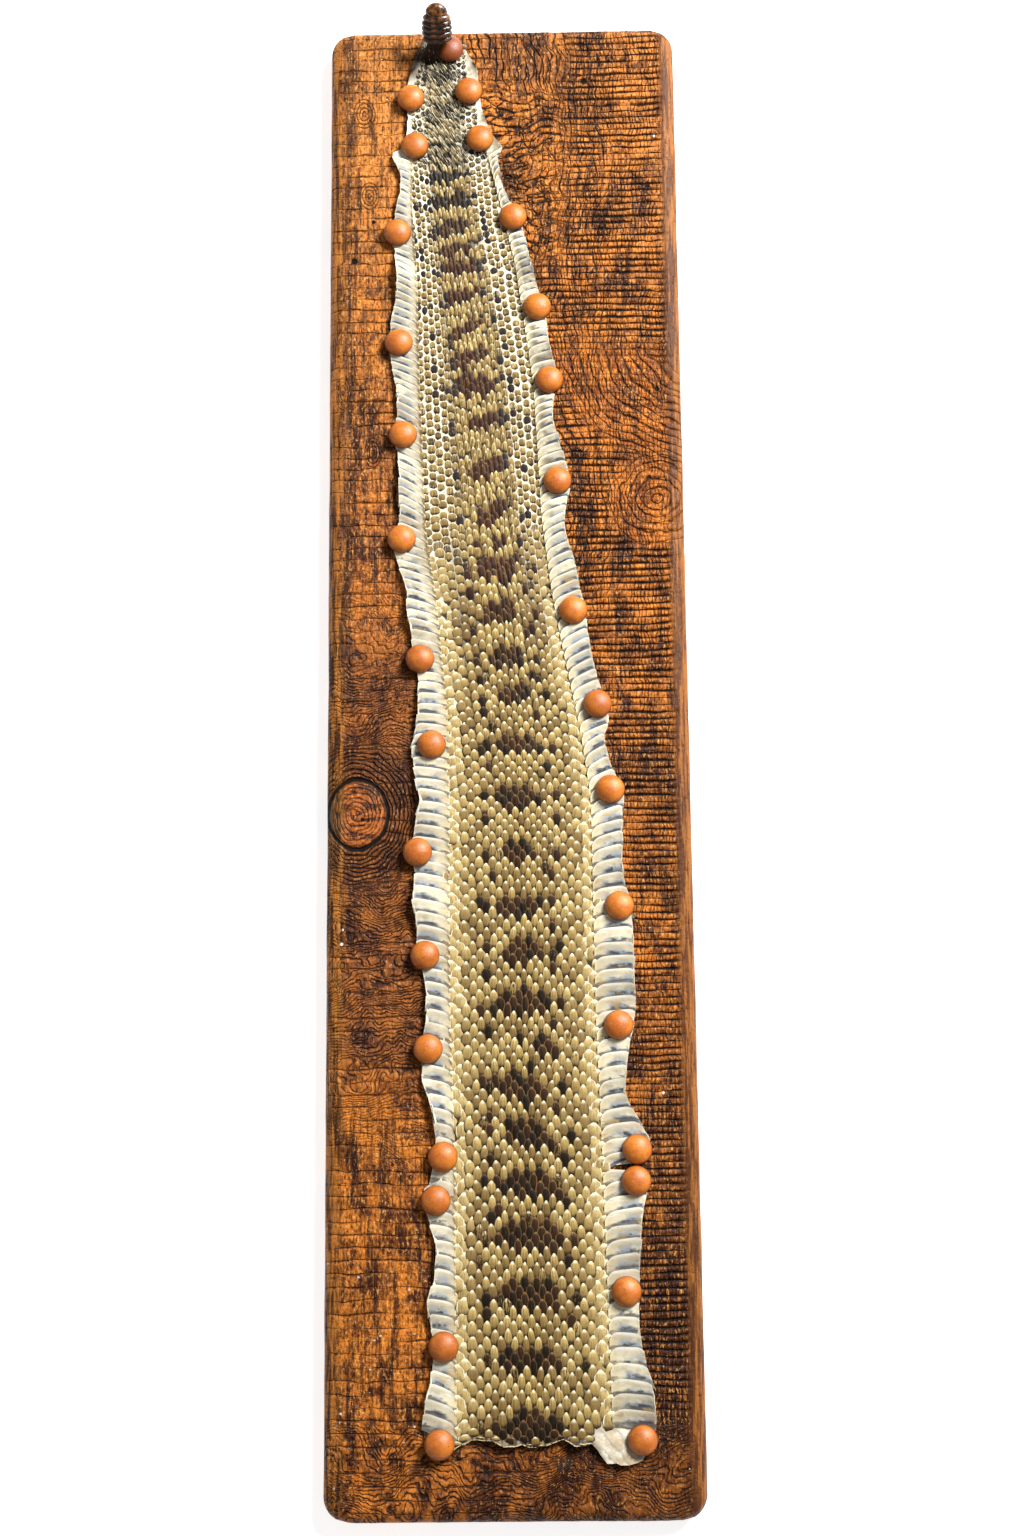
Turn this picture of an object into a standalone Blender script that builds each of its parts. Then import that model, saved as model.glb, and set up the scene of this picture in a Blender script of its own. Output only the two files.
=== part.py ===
"""A rattlesnake skin, opened along the belly, dried flat and pinned to a rough-sawn board with wooden-headed tacks.

Metres, +Z up. The board lies on its back: X across it, Y along it with the tail and the rattle at +Y,
and the origin at the middle of its flat back face.
"""

import math

import bmesh
import bpy
from mathutils import Matrix, Vector

MM = 0.001
GAP = 0.3 * MM  # clearance kept between pieces that touch

# Board: a rough-sawn ten inch plank, 42 inches long, with its front edges rounded over.
BOARD_LENGTH = 1.067
BOARD_WIDTH = 0.254
BOARD_THICKNESS = 22 * MM
CORNER_RADIUS = 17 * MM
FRONT_ROUND = 9 * MM
BACK_EASING = 1.5 * MM

# Tack: a turned wooden dome on a steel pin.
HEAD_RADIUS = 9.5 * MM
HEAD_HEIGHT = 9 * MM
PIN_RADIUS = 1.1 * MM
PIN_LENGTH = 13 * MM
TACK_SIDES = 12
HOLE_RADIUS = 1.5 * MM
HOLE_SIDES = 8
HOLE_SPARE_DEPTH = 1 * MM

# Skin: a dried sheet on the board's face.
SKIN_THICKNESS = 1.2 * MM
SKIN_BOTTOM = BOARD_THICKNESS + GAP
SKIN_TOP = SKIN_BOTTOM + SKIN_THICKNESS
HEAD_SEAT = SKIN_TOP + GAP

# Rattle: horn cups, each holding the knob of the one before it, standing off the tail.
RATTLE_BASE = Vector((-47.5 * MM, 518 * MM, BOARD_THICKNESS + 16.5 * MM))
RATTLE_RISE = math.radians(50)
RING_PITCH = 3.8 * MM
RING_RADII = [radius * MM for radius in (10.4, 10.6, 10.6, 10.2, 9.2)]
BUTTON_RADIUS = 7 * MM
RING_FLATNESS = 0.6  # thickness of a ring over its width
RING_SIDES = 16
KNOB_SHARE = 0.62  # widest radius of the hidden knob, as a share of its ring's
NECK_SHARE = 0.48
POST_LENGTH = 8 * MM
POST_BELOW_RING = 5.5 * MM

# Tail stub: the closed end of the tail, from the sheet up to the first ring.
STUB_FOOT = Vector((-53 * MM, 503 * MM, BOARD_THICKNESS + 1.5 * MM))
STUB_FOOT_RADIUS = 5.5 * MM
STUB_TOP_RADIUS = 6.2 * MM
STUB_SHORT_OF_RING = 3 * MM

# Tack places in millimetres, from the tail to the neck.
TAIL_TACK = (-39, 517)
LEFT_TACKS = [
    (-68, 478), (-65, 440), (-78, 372), (-77, 287), (-74, 217), (-75, 139), (-62, 51), (-54, -11),
    (-64, -87), (-59, -159), (-57, -223), (-47, -296), (-52, -325), (-47, -421), (-50, -484),
]
RIGHT_TACKS = [
    (-25, 483), (-17, 445), (7, 383), (24, 313), (32, 257), (37, 181), (47, 85), (63, 17),
    (71, -44), (76, -126), (74, -208), (85, -292), (84, -313), (76, -386), (85, -482),
]

# Cut edge of the skin in millimetres: drawn out at each tack and hollow between them.
LEFT_EDGE = [
    (-58, 524), (-64, 508), (-70, 492), (-73, 478), (-70, 464), (-71, 452), (-73, 441), (-82, 434),
    (-75, 418), (-76, 402), (-80, 386), (-83, 372), (-80, 359), (-78, 340), (-78, 324), (-82, 308),
    (-83, 287), (-82, 270), (-78, 250), (-78, 232), (-80, 217), (-78, 205), (-76, 188), (-76, 150),
    (-81, 138), (-79, 127), (-75, 114), (-71, 100), (-70, 82), (-67, 64), (-67, 51), (-62, 38),
    (-63, 18), (-64, 3), (-68, -11), (-66, -28), (-62, -50), (-65, -66), (-69, -86), (-65, -99),
    (-67, -118), (-64, -142), (-65, -158), (-60, -172), (-57, -190), (-59, -209), (-62, -224),
    (-61, -246), (-54, -262), (-51, -280), (-53, -296), (-53, -306), (-47, -311), (-60, -316),
    (-60, -328), (-56, -340), (-51, -358), (-53, -378), (-58, -391), (-56, -405), (-53, -421),
    (-54, -438), (-59, -455), (-61, -474), (-57, -490), (-46, -492),
]
NECK_EDGE = [
    (-38, -486), (-27, -481), (-14, -482), (-5, -486), (8, -485), (14, -487), (24, -484), (33, -481),
    (41, -486), (52, -484), (56, -489), (60, -497), (74, -498), (84, -496),
]
RIGHT_EDGE = [
    (91, -487), (94, -472), (93, -454), (90, -440), (86, -428), (84, -408), (84, -386), (85, -372),
    (86, -350), (87, -336), (91, -322), (92, -313), (90, -306), (65, -307), (89, -301), (93, -294),
    (94, -285), (89, -277), (81, -266), (77, -252), (79, -234), (81, -220), (84, -208), (85, -194),
    (85, -146), (84, -126), (80, -112), (78, -96), (78, -80), (79, -62), (79, -44), (73, -30),
    (69, -20), (66, -4), (71, 5), (70, 17), (63, 36), (59, 54), (56, 72), (55, 86), (51, 104),
    (48, 120), (44, 134), (41, 148), (43, 164), (46, 176), (43, 195), (38, 210), (34, 226),
    (34, 244), (38, 257), (35, 272), (32, 284), (31, 298), (30, 313), (24, 328), (20, 342),
    (17, 358), (14, 374), (13, 384), (6, 394), (1, 402), (-3, 416), (-4, 430), (-1, 440),
    (-8, 450), (-13, 460), (-16, 472), (-17, 484), (-19, 501), (-25, 512), (-30, 523),
]


def clear_scene():
    for obj in list(bpy.data.objects):
        bpy.data.objects.remove(obj, do_unlink=True)


def new_collection(name):
    collection = bpy.data.collections.new(name)
    bpy.context.scene.collection.children.link(collection)
    return collection


def finish_material(name, colour, roughness, metallic=0.0):
    material = bpy.data.materials.new(name)
    material.use_nodes = True
    shader = material.node_tree.nodes["Principled BSDF"]
    shader.inputs["Base Color"].default_value = (*colour, 1.0)
    shader.inputs["Roughness"].default_value = roughness
    shader.inputs["Metallic"].default_value = metallic
    return material


def object_from_bmesh(name, bm, collection, material=None):
    mesh = bpy.data.meshes.new(name)
    bm.to_mesh(mesh)
    bm.free()
    obj = bpy.data.objects.new(name, mesh)
    collection.objects.link(obj)
    if material:
        mesh.materials.append(material)
    return obj


def as_cutter(obj):
    obj.hide_render = True
    obj.display_type = "WIRE"
    return obj


def add_boolean(obj, operation, other):
    modifier = obj.modifiers.new(other.name, "BOOLEAN")
    modifier.operation = operation
    modifier.solver = "EXACT"
    modifier.object = other


def turned(name, profile, sides, collection, material=None):
    """A solid of revolution about Z. The profile of (radius, height) runs down the outer side, top to bottom."""
    mesh = bpy.data.meshes.new(name)
    points = [(radius, 0.0, height) for radius, height in profile]
    mesh.from_pydata(points, [(i, i + 1) for i in range(len(points) - 1)], [])
    obj = bpy.data.objects.new(name, mesh)
    collection.objects.link(obj)
    screw = obj.modifiers.new("turn", "SCREW")
    screw.steps = screw.render_steps = sides
    screw.use_merge_vertices = True
    screw.merge_threshold = 0.00005
    if material:
        mesh.materials.append(material)
    return obj


def baked_mesh(obj):
    """The object's evaluated mesh as its own mesh, with loose caps and seams welded, and no modifiers left."""
    graph = bpy.context.evaluated_depsgraph_get()
    mesh = bpy.data.meshes.new_from_object(obj.evaluated_get(graph))
    bm = bmesh.new()
    bm.from_mesh(mesh)
    bmesh.ops.remove_doubles(bm, verts=bm.verts, dist=0.00001)
    bm.to_mesh(mesh)
    bm.free()
    return mesh


def along(axis, across):
    """The rotation that takes Z to the axis and keeps X as near to across as it can."""
    z = axis.normalized()
    x = (across - across.dot(z) * z).normalized()
    return Matrix((x, z.cross(x), z)).transposed().to_4x4()


def all_tacks():
    places = {"tack_tail": TAIL_TACK}
    places.update({f"tack_left_{n:02d}": place for n, place in enumerate(LEFT_TACKS, 1)})
    places.update({f"tack_right_{n:02d}": place for n, place in enumerate(RIGHT_TACKS, 1)})
    return {name: Vector((x * MM, y * MM, 0)) for name, (x, y) in places.items()}


def make_pin_holes(collection):
    """One cutter with a round hole for each pin, from above the skin to just past the pin's point."""
    top = HEAD_SEAT + 1 * MM
    depth = 1 * MM + PIN_LENGTH + HOLE_SPARE_DEPTH
    bm = bmesh.new()
    for place in all_tacks().values():
        centre = place + Vector((0, 0, top - depth / 2))
        bmesh.ops.create_cone(
            bm, cap_ends=True, segments=HOLE_SIDES, radius1=HOLE_RADIUS, radius2=HOLE_RADIUS,
            depth=depth, matrix=Matrix.Translation(centre),
        )
    return as_cutter(object_from_bmesh("pin_holes", bm, collection))


def make_board(collection, holes):
    """The plank: a box whose upright corners, front edges and back edges are rounded in turn."""
    bm = bmesh.new()
    bmesh.ops.create_cube(bm, size=1.0)
    bmesh.ops.scale(bm, vec=(BOARD_WIDTH, BOARD_LENGTH, BOARD_THICKNESS), verts=bm.verts)
    bmesh.ops.translate(bm, vec=(0, 0, BOARD_THICKNESS / 2), verts=bm.verts)
    upright = [e for e in bm.edges if abs(e.verts[0].co.z - e.verts[1].co.z) > BOARD_THICKNESS / 2]
    bmesh.ops.bevel(bm, geom=upright, offset=CORNER_RADIUS, segments=5, profile=0.5, affect="EDGES")
    front = [e for e in bm.edges if all(v.co.z > BOARD_THICKNESS - GAP for v in e.verts)]
    bmesh.ops.bevel(bm, geom=front, offset=FRONT_ROUND, segments=3, profile=0.5, affect="EDGES")
    back = [e for e in bm.edges if all(v.co.z < GAP for v in e.verts)]
    bmesh.ops.bevel(bm, geom=back, offset=BACK_EASING, segments=1, affect="EDGES")
    material = finish_material("stained_board", (0.23, 0.085, 0.025), 0.55)
    board = object_from_bmesh("board", bm, collection, material)
    add_boolean(board, "DIFFERENCE", holes)
    return board


def make_skin_sheet(collection, material):
    """The flat sheet inside the cut edge."""
    outline = LEFT_EDGE + NECK_EDGE + RIGHT_EDGE
    curve = bpy.data.curves.new("sheet_outline", "CURVE")
    curve.dimensions = "2D"
    curve.fill_mode = "BOTH"
    curve.extrude = SKIN_THICKNESS / 2
    spline = curve.splines.new("POLY")
    spline.points.add(len(outline) - 1)
    for point, (x, y) in zip(spline.points, outline):
        point.co = (x * MM, y * MM, 0, 1)
    spline.use_cyclic_u = True
    flat = bpy.data.objects.new("sheet_outline", curve)
    collection.objects.link(flat)
    skin = bpy.data.objects.new("snake_skin", baked_mesh(flat))
    bpy.data.objects.remove(flat)
    skin.location.z = SKIN_BOTTOM + SKIN_THICKNESS / 2
    skin.data.materials.clear()
    skin.data.materials.append(material)
    collection.objects.link(skin)
    return skin


def make_tail_stub(cutters):
    """The closed end of the tail: a tapered tube that leans up from the sheet, trimmed flat at its foot."""
    reach = RATTLE_BASE - STUB_FOOT
    length = reach.length - STUB_SHORT_OF_RING
    bm = bmesh.new()
    bmesh.ops.create_cone(
        bm, cap_ends=True, segments=RING_SIDES, radius1=STUB_FOOT_RADIUS, radius2=STUB_TOP_RADIUS,
        depth=length, matrix=Matrix.Translation((0, 0, length / 2)),
    )
    bmesh.ops.scale(bm, vec=(1, 0.8, 1), verts=bm.verts)
    stub = as_cutter(object_from_bmesh("tail_stub", bm, cutters))
    stub.matrix_world = Matrix.Translation(STUB_FOOT) @ along(reach, Vector((1, 0, 0)))

    bm = bmesh.new()
    bmesh.ops.create_cube(bm, size=60 * MM)
    below = as_cutter(object_from_bmesh("below_skin", bm, cutters))
    below.location = STUB_FOOT + Vector((0, 0, SKIN_BOTTOM - STUB_FOOT.z - 30 * MM))
    add_boolean(stub, "DIFFERENCE", below)
    return stub


def make_tail_post(cutters):
    """The last bone of the tail, which the first ring of the rattle grips."""
    radius = NECK_SHARE * RING_RADII[0] * RING_FLATNESS
    bm = bmesh.new()
    bmesh.ops.create_cone(
        bm, cap_ends=True, segments=RING_SIDES, radius1=radius, radius2=radius * 0.8,
        depth=POST_LENGTH, matrix=Matrix.Translation((0, 0, POST_LENGTH / 2 - POST_BELOW_RING)),
    )
    post = as_cutter(object_from_bmesh("tail_post", bm, cutters))
    post.matrix_world = Matrix.Translation(RATTLE_BASE) @ rattle_turn()
    return post


def make_skin(collection, cutters, holes):
    material = finish_material("dried_snake_skin", (0.42, 0.34, 0.19), 0.5)
    skin = make_skin_sheet(collection, material)
    add_boolean(skin, "UNION", make_tail_stub(cutters))
    add_boolean(skin, "UNION", make_tail_post(cutters))
    add_boolean(skin, "DIFFERENCE", holes)
    return skin


def rattle_turn():
    axis = Vector((0, math.cos(RATTLE_RISE), math.sin(RATTLE_RISE)))
    return along(axis, Vector((1, 0, 0)))


def ring_profile(radius, grips):
    """Half section of a ring: from the top of the knob that the next ring grips, down and round into its own cup.

    radius is the ring's own widest radius, and grips is that of the ring whose knob sits in its cup.
    """
    shoulder = RING_PITCH - GAP
    knob = [
        (0, RING_PITCH + 2.6 * MM), (0.44 * radius, RING_PITCH + 2.1 * MM),
        (KNOB_SHARE * radius, RING_PITCH + 1.3 * MM), (NECK_SHARE * radius, RING_PITCH + 0.5 * MM),
        (NECK_SHARE * radius, shoulder),
    ]
    return knob + [(0.78 * radius, shoulder)] + cup_wall(radius) + cup_inside(grips)


def button_profile(radius, grips):
    """Half section of the last and smallest piece: a closed dome over the same cup."""
    dome = [(0, 8 * MM), (0.34 * radius, 7.4 * MM), (0.66 * radius, 5.7 * MM), (0.88 * radius, 3.8 * MM)]
    return dome + cup_wall(radius) + cup_inside(grips)


def cup_wall(radius):
    return [(radius, 2.1 * MM), (0.97 * radius, 0.8 * MM), (0.84 * radius, 0)]


def cup_inside(grips):
    mouth = NECK_SHARE * grips + 2 * GAP
    return [
        (mouth, 0), (mouth, 0.4 * MM), (KNOB_SHARE * grips + 1.5 * GAP, 1.3 * MM),
        (0.44 * grips + 1.5 * GAP, 2.45 * MM), (0, 3.05 * MM),
    ]


def make_rattle(collection):
    material = finish_material("rattle_horn", (0.11, 0.045, 0.015), 0.3)
    grips = RING_RADII[0]
    profiles = {}
    for n, radius in enumerate(RING_RADII, 1):
        profiles[f"rattle_ring_{n}"] = ring_profile(radius, grips)
        grips = radius
    profiles["rattle_button"] = button_profile(BUTTON_RADIUS, grips)

    for n, (name, profile) in enumerate(profiles.items()):
        ring = turned(name, profile, RING_SIDES, collection)
        mesh = baked_mesh(ring)
        ring.modifiers.clear()
        ring.data = mesh
        mesh.transform(Matrix.Diagonal((1, RING_FLATNESS, 1, 1)))
        mesh.materials.append(material)
        mesh.shade_smooth()
        lift = rattle_turn() @ Vector((0, 0, n * RING_PITCH))
        ring.matrix_world = Matrix.Translation(RATTLE_BASE + lift) @ rattle_turn()


def dome_profile():
    """A tack from the top of its dome to the point of its pin."""
    dome = [
        (HEAD_RADIUS * math.sin(angle), HEAD_HEIGHT * math.cos(angle))
        for angle in map(math.radians, (0, 28, 56, 82))
    ]
    return dome + [
        (HEAD_RADIUS * 0.93, 0), (PIN_RADIUS, 0), (PIN_RADIUS, 2 * MM - PIN_LENGTH), (0, -PIN_LENGTH),
    ]


def make_tacks(collection):
    material = finish_material("tack_wood", (0.55, 0.2, 0.055), 0.35)
    pattern = turned("tack_pattern", dome_profile(), TACK_SIDES, collection, material)
    shared = baked_mesh(pattern)
    bpy.data.objects.remove(pattern)
    shared.shade_smooth()
    for name, place in all_tacks().items():
        tack = bpy.data.objects.new(name, shared)
        tack.location = place + Vector((0, 0, HEAD_SEAT))
        collection.objects.link(tack)


def main():
    clear_scene()
    parts = new_collection("mounted_rattlesnake_skin")
    cutters = new_collection("cutters")
    holes = make_pin_holes(cutters)
    make_board(parts, holes)
    make_skin(parts, cutters, holes)
    make_rattle(parts)
    make_tacks(parts)


main()
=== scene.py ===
# %% [markdown]
# # A rattlesnake skin on a rough board
#
# A hunter's trophy: the skin was slit along the belly, opened flat and pinned to a stained plank with
# wooden-headed tacks, with the rattle still on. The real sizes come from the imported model, which is loaded
# first and used as a frame. Every piece below is made to fit it.

# %% Load the frame
import math
import random
from types import SimpleNamespace

import bmesh
import bpy
from mathutils import Euler, Matrix, Vector, noise


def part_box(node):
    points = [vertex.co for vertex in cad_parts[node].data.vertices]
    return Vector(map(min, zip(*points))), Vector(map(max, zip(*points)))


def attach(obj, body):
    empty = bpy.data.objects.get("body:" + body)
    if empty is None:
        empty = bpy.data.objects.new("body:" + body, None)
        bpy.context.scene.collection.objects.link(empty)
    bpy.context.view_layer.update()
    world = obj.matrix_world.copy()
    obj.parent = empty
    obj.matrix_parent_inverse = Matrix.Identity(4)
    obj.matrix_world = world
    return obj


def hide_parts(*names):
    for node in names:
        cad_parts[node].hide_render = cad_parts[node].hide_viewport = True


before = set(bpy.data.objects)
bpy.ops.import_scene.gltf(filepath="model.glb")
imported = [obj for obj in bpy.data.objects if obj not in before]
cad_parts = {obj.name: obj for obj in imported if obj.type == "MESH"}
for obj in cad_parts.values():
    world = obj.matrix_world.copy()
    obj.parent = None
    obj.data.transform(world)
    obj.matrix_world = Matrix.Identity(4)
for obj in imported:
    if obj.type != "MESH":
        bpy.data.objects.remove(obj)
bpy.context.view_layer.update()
MM = 0.001
BODY = "root"
print("frame nodes:", len(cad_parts))

# %% [markdown]
# ## Where the camera stands
#
# The board leans away from the lens by about ten degrees, so its far end looks a little narrower. A camera
# could be aimed with a constraint, but three plain turns and a place are easier to read and to repeat.

# %% Camera
CAMERA_PLACE = Vector((0.0218, -0.2905, 1.4973))
CAMERA_TURNS = {"X": 10.104, "Y": 0.740, "Z": -0.674}


def put_in_scene(name, data):
    """A new object that holds this data, linked to the scene."""
    made = bpy.data.objects.new(name, data)
    bpy.context.scene.collection.objects.link(made)
    return made


camera_data = bpy.data.cameras.new("camera")
camera_data.lens = 50
camera_data.sensor_width = 36
camera = put_in_scene("camera", camera_data)
camera_turn = Matrix.Identity(3)
for axis, degrees in CAMERA_TURNS.items():
    camera_turn = camera_turn @ Matrix.Rotation(math.radians(degrees), 3, axis)
camera.matrix_world = Matrix.Translation(CAMERA_PLACE) @ camera_turn.to_4x4()
bpy.context.scene.camera = camera
print("camera at", [round(c, 3) for c in CAMERA_PLACE])

# %% [markdown]
# ## Writing formulas as nodes
#
# A pattern such as wood grain should move the surface and colour it in the same places. Blender's noise and
# math nodes work alike in a shader and in Geometry Nodes, so one small class writes a formula into either
# kind of tree. The relief and the paint then line up, because they come from the same lines of Python.


# %% Formula writer
class Formula:
    """Adds nodes to a tree. Every argument may be a number, a colour or the output of another node."""

    def __init__(self, tree):
        self.tree = tree
        self.solid = tree.bl_idname == "GeometryNodeTree"

    def node(self, kind, inputs, output=0, **settings):
        made = self.tree.nodes.new(kind)
        for name, value in settings.items():
            setattr(made, name, value)
        for key, value in inputs.items():
            if isinstance(value, bpy.types.NodeSocket):
                self.tree.links.new(value, made.inputs[key])
            else:
                made.inputs[key].default_value = value
        return made.outputs[output]

    def math(self, operation, *values):
        return self.node("ShaderNodeMath", dict(enumerate(values)), operation=operation)

    def add(self, *values):
        total = values[0]
        for value in values[1:]:
            total = self.math("ADD", total, value)
        return total

    def times(self, *values):
        total = values[0]
        for value in values[1:]:
            total = self.math("MULTIPLY", total, value)
        return total

    def most(self, *values):
        total = values[0]
        for value in values[1:]:
            total = self.math("MAXIMUM", total, value)
        return total

    def less(self, value, amount):
        return self.math("SUBTRACT", value, amount)

    def ramp(self, value, start, end, low=0.0, high=1.0):
        """A smooth step from low at start to high at end."""
        keys = {0: value, 1: start, 2: end, 3: low, 4: high}
        return self.node("ShaderNodeMapRange", keys, interpolation_type="SMOOTHSTEP")

    def hump(self, value, centre, reach):
        """1 at the centre, falling smoothly to 0 at that reach on either side."""
        return self.ramp(self.math("ABSOLUTE", self.less(value, centre)), 0.0, reach, 1.0, 0.0)

    def lines(self, run, pitch, reach):
        """Lines across a run, one for each pitch: 1 on a line, falling to 0 at that share of the pitch."""
        phase = self.math("FRACT", self.math("DIVIDE", run, pitch))
        return self.hump(phase, 0.5, reach)

    def uneven_lines(self, run, pitch, thin, thick, patchy):
        """Lines across a run whose width wanders between thin and thick, as shares of the pitch."""
        return self.lines(run, pitch, self.ramp(patchy, 0.36, 0.64, thin, thick))

    def stray(self, run, by, reach):
        """A run that strays by a noise times that reach."""
        return self.add(run, self.times(by, reach))

    def place(self, scale=(1.0, 1.0, 1.0)):
        """The point's place in millimetres, stretched by a scale for each axis."""
        if self.solid:
            where = self.node("GeometryNodeInputPosition", {})
        else:
            where = self.node("ShaderNodeTexCoord", {}, output="Object")
        stretch = [1000.0 * share for share in scale]
        return self.node("ShaderNodeVectorMath", {0: where, 1: stretch}, operation="MULTIPLY")

    def split(self, vector):
        parts = self.tree.nodes.new("ShaderNodeSeparateXYZ")
        self.tree.links.new(vector, parts.inputs[0])
        return parts.outputs

    def vector(self, x=0.0, y=0.0, z=0.0):
        return self.node("ShaderNodeCombineXYZ", {0: x, 1: y, 2: z})

    def away_from(self, x, y, stretch=1.0):
        """How far the point lies from a place seen from above, with the board's length stretched."""
        keys = {0: self.place((1.0, stretch, 0.0)), 1: (x, stretch * y, 0.0)}
        return self.node("ShaderNodeVectorMath", keys, output="Value", operation="DISTANCE")

    def oval(self, x, y, centre_x, centre_y, half_width, half_height):
        """0 at the centre of an oval, 1 on its rim and more beyond it."""
        across = self.math("DIVIDE", self.less(x, centre_x), half_width)
        along = self.math("DIVIDE", self.less(y, centre_y), half_height)
        return self.math("SQRT", self.add(self.math("POWER", across, 2.0), self.math("POWER", along, 2.0)))

    def cloud(self, vector, size, detail=2.0, roughness=0.5, distortion=0.0):
        """Noise from 0 to 1 with blobs about that size in millimetres. A tuple stretches the place."""
        if isinstance(vector, tuple):
            vector = self.place(vector)
        keys = {"Vector": vector, "Scale": 1 / size, "Detail": detail, "Roughness": roughness,
                "Distortion": distortion}
        return self.node("ShaderNodeTexNoise", keys)

    def cells(self, vector, size, feature="F1"):
        """Distance to the nearest of many scattered seeds, or to the edge between two of their cells."""
        return self.node("ShaderNodeTexVoronoi", {"Vector": vector, "Scale": 1 / size}, feature=feature)

    def named(self, name):
        """A number stored on the mesh under that name."""
        if self.solid:
            return self.node("GeometryNodeInputNamedAttribute", {"Name": name}, data_type="FLOAT")
        return self.node("ShaderNodeAttribute", {}, output="Fac", attribute_name=name)

    def named_vector(self, name):
        return self.node("GeometryNodeInputNamedAttribute", {"Name": name}, data_type="FLOAT_VECTOR")

    def mix(self, share, first, second):
        keys = {0: share, 6: first, 7: second}
        return self.node("ShaderNodeMix", keys, output=2, data_type="RGBA")

    def blend(self, share, first, second):
        return self.node("ShaderNodeMix", {0: share, 2: first, 3: second}, data_type="FLOAT")


def paint(red, green, blue):
    """A colour given as a screen shows it, from 0 to 255, turned into the light that Blender mixes."""
    light = [((c / 255 + 0.055) / 1.055) ** 2.4 if c > 10 else c / 255 / 12.92 for c in (red, green, blue)]
    return (*light, 1.0)


def new_material(name):
    """An empty material: its tree, its shader and a formula writer for it."""
    material = bpy.data.materials.new(name)
    material.use_nodes = True
    shader = material.node_tree.nodes["Principled BSDF"]
    return material, shader, Formula(material.node_tree)


def finish_shader(write, shader, colour, roughness, height, depth):
    """Links the colour, the roughness and a bump, where a height of 1 stands that many metres proud."""
    bump = write.node("ShaderNodeBump", {"Height": height, "Strength": 1.0, "Distance": depth})
    for socket, value in (("Base Color", colour), ("Roughness", roughness), ("Normal", bump)):
        write.tree.links.new(value, shader.inputs[socket])


# %% [markdown]
# ## A tree for each growing thing
#
# Scales, scutes and tacks each repeat one small shape many times. Geometry Nodes place the copies, and the
# result is turned into a plain mesh, because other programs don't know about instances. The modifier's
# inputs are set by the socket's identifier before the object is first evaluated.


# %% Tree helpers
def new_tree(name, sizes):
    """A geometry tree with named number inputs. Gives the tree, its formula writer and its group input."""
    tree = bpy.data.node_groups.new(name, "GeometryNodeTree")
    tree.interface.new_socket("Geometry", in_out="INPUT", socket_type="NodeSocketGeometry")
    tree.interface.new_socket("Geometry", in_out="OUTPUT", socket_type="NodeSocketGeometry")
    kinds = {"Material": "NodeSocketMaterial", "Object": "NodeSocketObject"}
    for size_name, default in sizes.items():
        kind = kinds.get(default, "NodeSocketFloat")
        socket = tree.interface.new_socket(size_name, in_out="INPUT", socket_type=kind)
        if kind == "NodeSocketFloat":
            socket.default_value = default
    start = tree.nodes.new("NodeGroupInput")
    return tree, Formula(tree), start


def finish_tree(write, geometry, start):
    """Ends the tree in Realize Instances and Set Material."""
    real = write.node("GeometryNodeRealizeInstances", {"Geometry": geometry})
    material = start.outputs["Material"]
    painted = write.node("GeometryNodeSetMaterial", {"Geometry": real, "Material": material})
    end = write.tree.nodes.new("NodeGroupOutput")
    write.tree.links.new(painted, end.inputs[0])


def copies_on_points(write, points, shape, **settings):
    """A copy of a shape on every point, turned as the point's own numbers say."""
    turn = write.node("FunctionNodeEulerToRotation", {0: write.named_vector("turn")})
    return write.node("GeometryNodeInstanceOnPoints", {
        "Points": points, "Instance": shape, "Rotation": turn, **settings})


def grown_piece(name, source, tree, values):
    """Runs a tree over a source mesh and keeps the result as a plain mesh object with that name."""
    host = put_in_scene(name + "_source", source)
    modifier = host.modifiers.new(tree.name, "NODES")
    modifier.node_group = tree
    for item in tree.interface.items_tree:
        if item.in_out == "INPUT" and item.name in values:
            modifier[item.identifier] = values[item.name]
    graph = bpy.context.evaluated_depsgraph_get()
    mesh = bpy.data.meshes.new_from_object(host.evaluated_get(graph))
    bpy.data.objects.remove(host)
    mesh.name = name
    return put_in_scene(name, mesh)


def triangles(piece):
    """How many triangles a piece's faces make."""
    return sum(len(face.vertices) - 2 for face in piece.data.polygons)


def point_mesh(name, points, numbers):
    """Loose points with one stored number or vector for each, ready to carry instances."""
    mesh = bpy.data.meshes.new(name)
    mesh.from_pydata(points, [], [])
    for key, values in numbers.items():
        is_vector = isinstance(values[0], (tuple, list, Vector, Euler))
        kind, field = ("FLOAT_VECTOR", "vector") if is_vector else ("FLOAT", "value")
        stored = mesh.attributes.new(key, kind, "POINT")
        flat = [part for value in values for part in value] if is_vector else list(values)
        stored.data.foreach_set(field, flat)
    return mesh


# %% [markdown]
# ## The pattern of a rough-sawn, stained plank
#
# The plank was cut with a coarse saw and never planed. The teeth left cross grooves about five millimetres
# apart on the right, the grain there stands in short blocks, and bark-like plates are left near the top.
# The left side is smoother, with swirling grain round a knot that the edge cuts through. A painted texture
# would show all this, but formulas can drive the real relief as well, so the pattern is written once.

# %% Board pattern
BOARD_LOW, BOARD_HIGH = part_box("board")
SAW_PITCH = 4.9
TOOTH_PITCH = 2.7
SWIRL_PITCH = 3.1
BEND_CENTRE = (140.0, 292.0)
EYE_PLACE = (108.0, 168.0)
SWIRL_CENTRE = (-95.0, -95.0)
BRUISE = (32.5, -497.6)
# Knots: across, along, half width and half height in millimetres.
KNOT = (-106.0, -59.0, 21.0, 24.5)
SMALL_KNOTS = [
    (-99, 403, 8, 12), (-103, 468, 9, 13), (39, -505, 8, 5), (-96, 205, 7, 12), (-118, 250, 6, 14),
]
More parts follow.
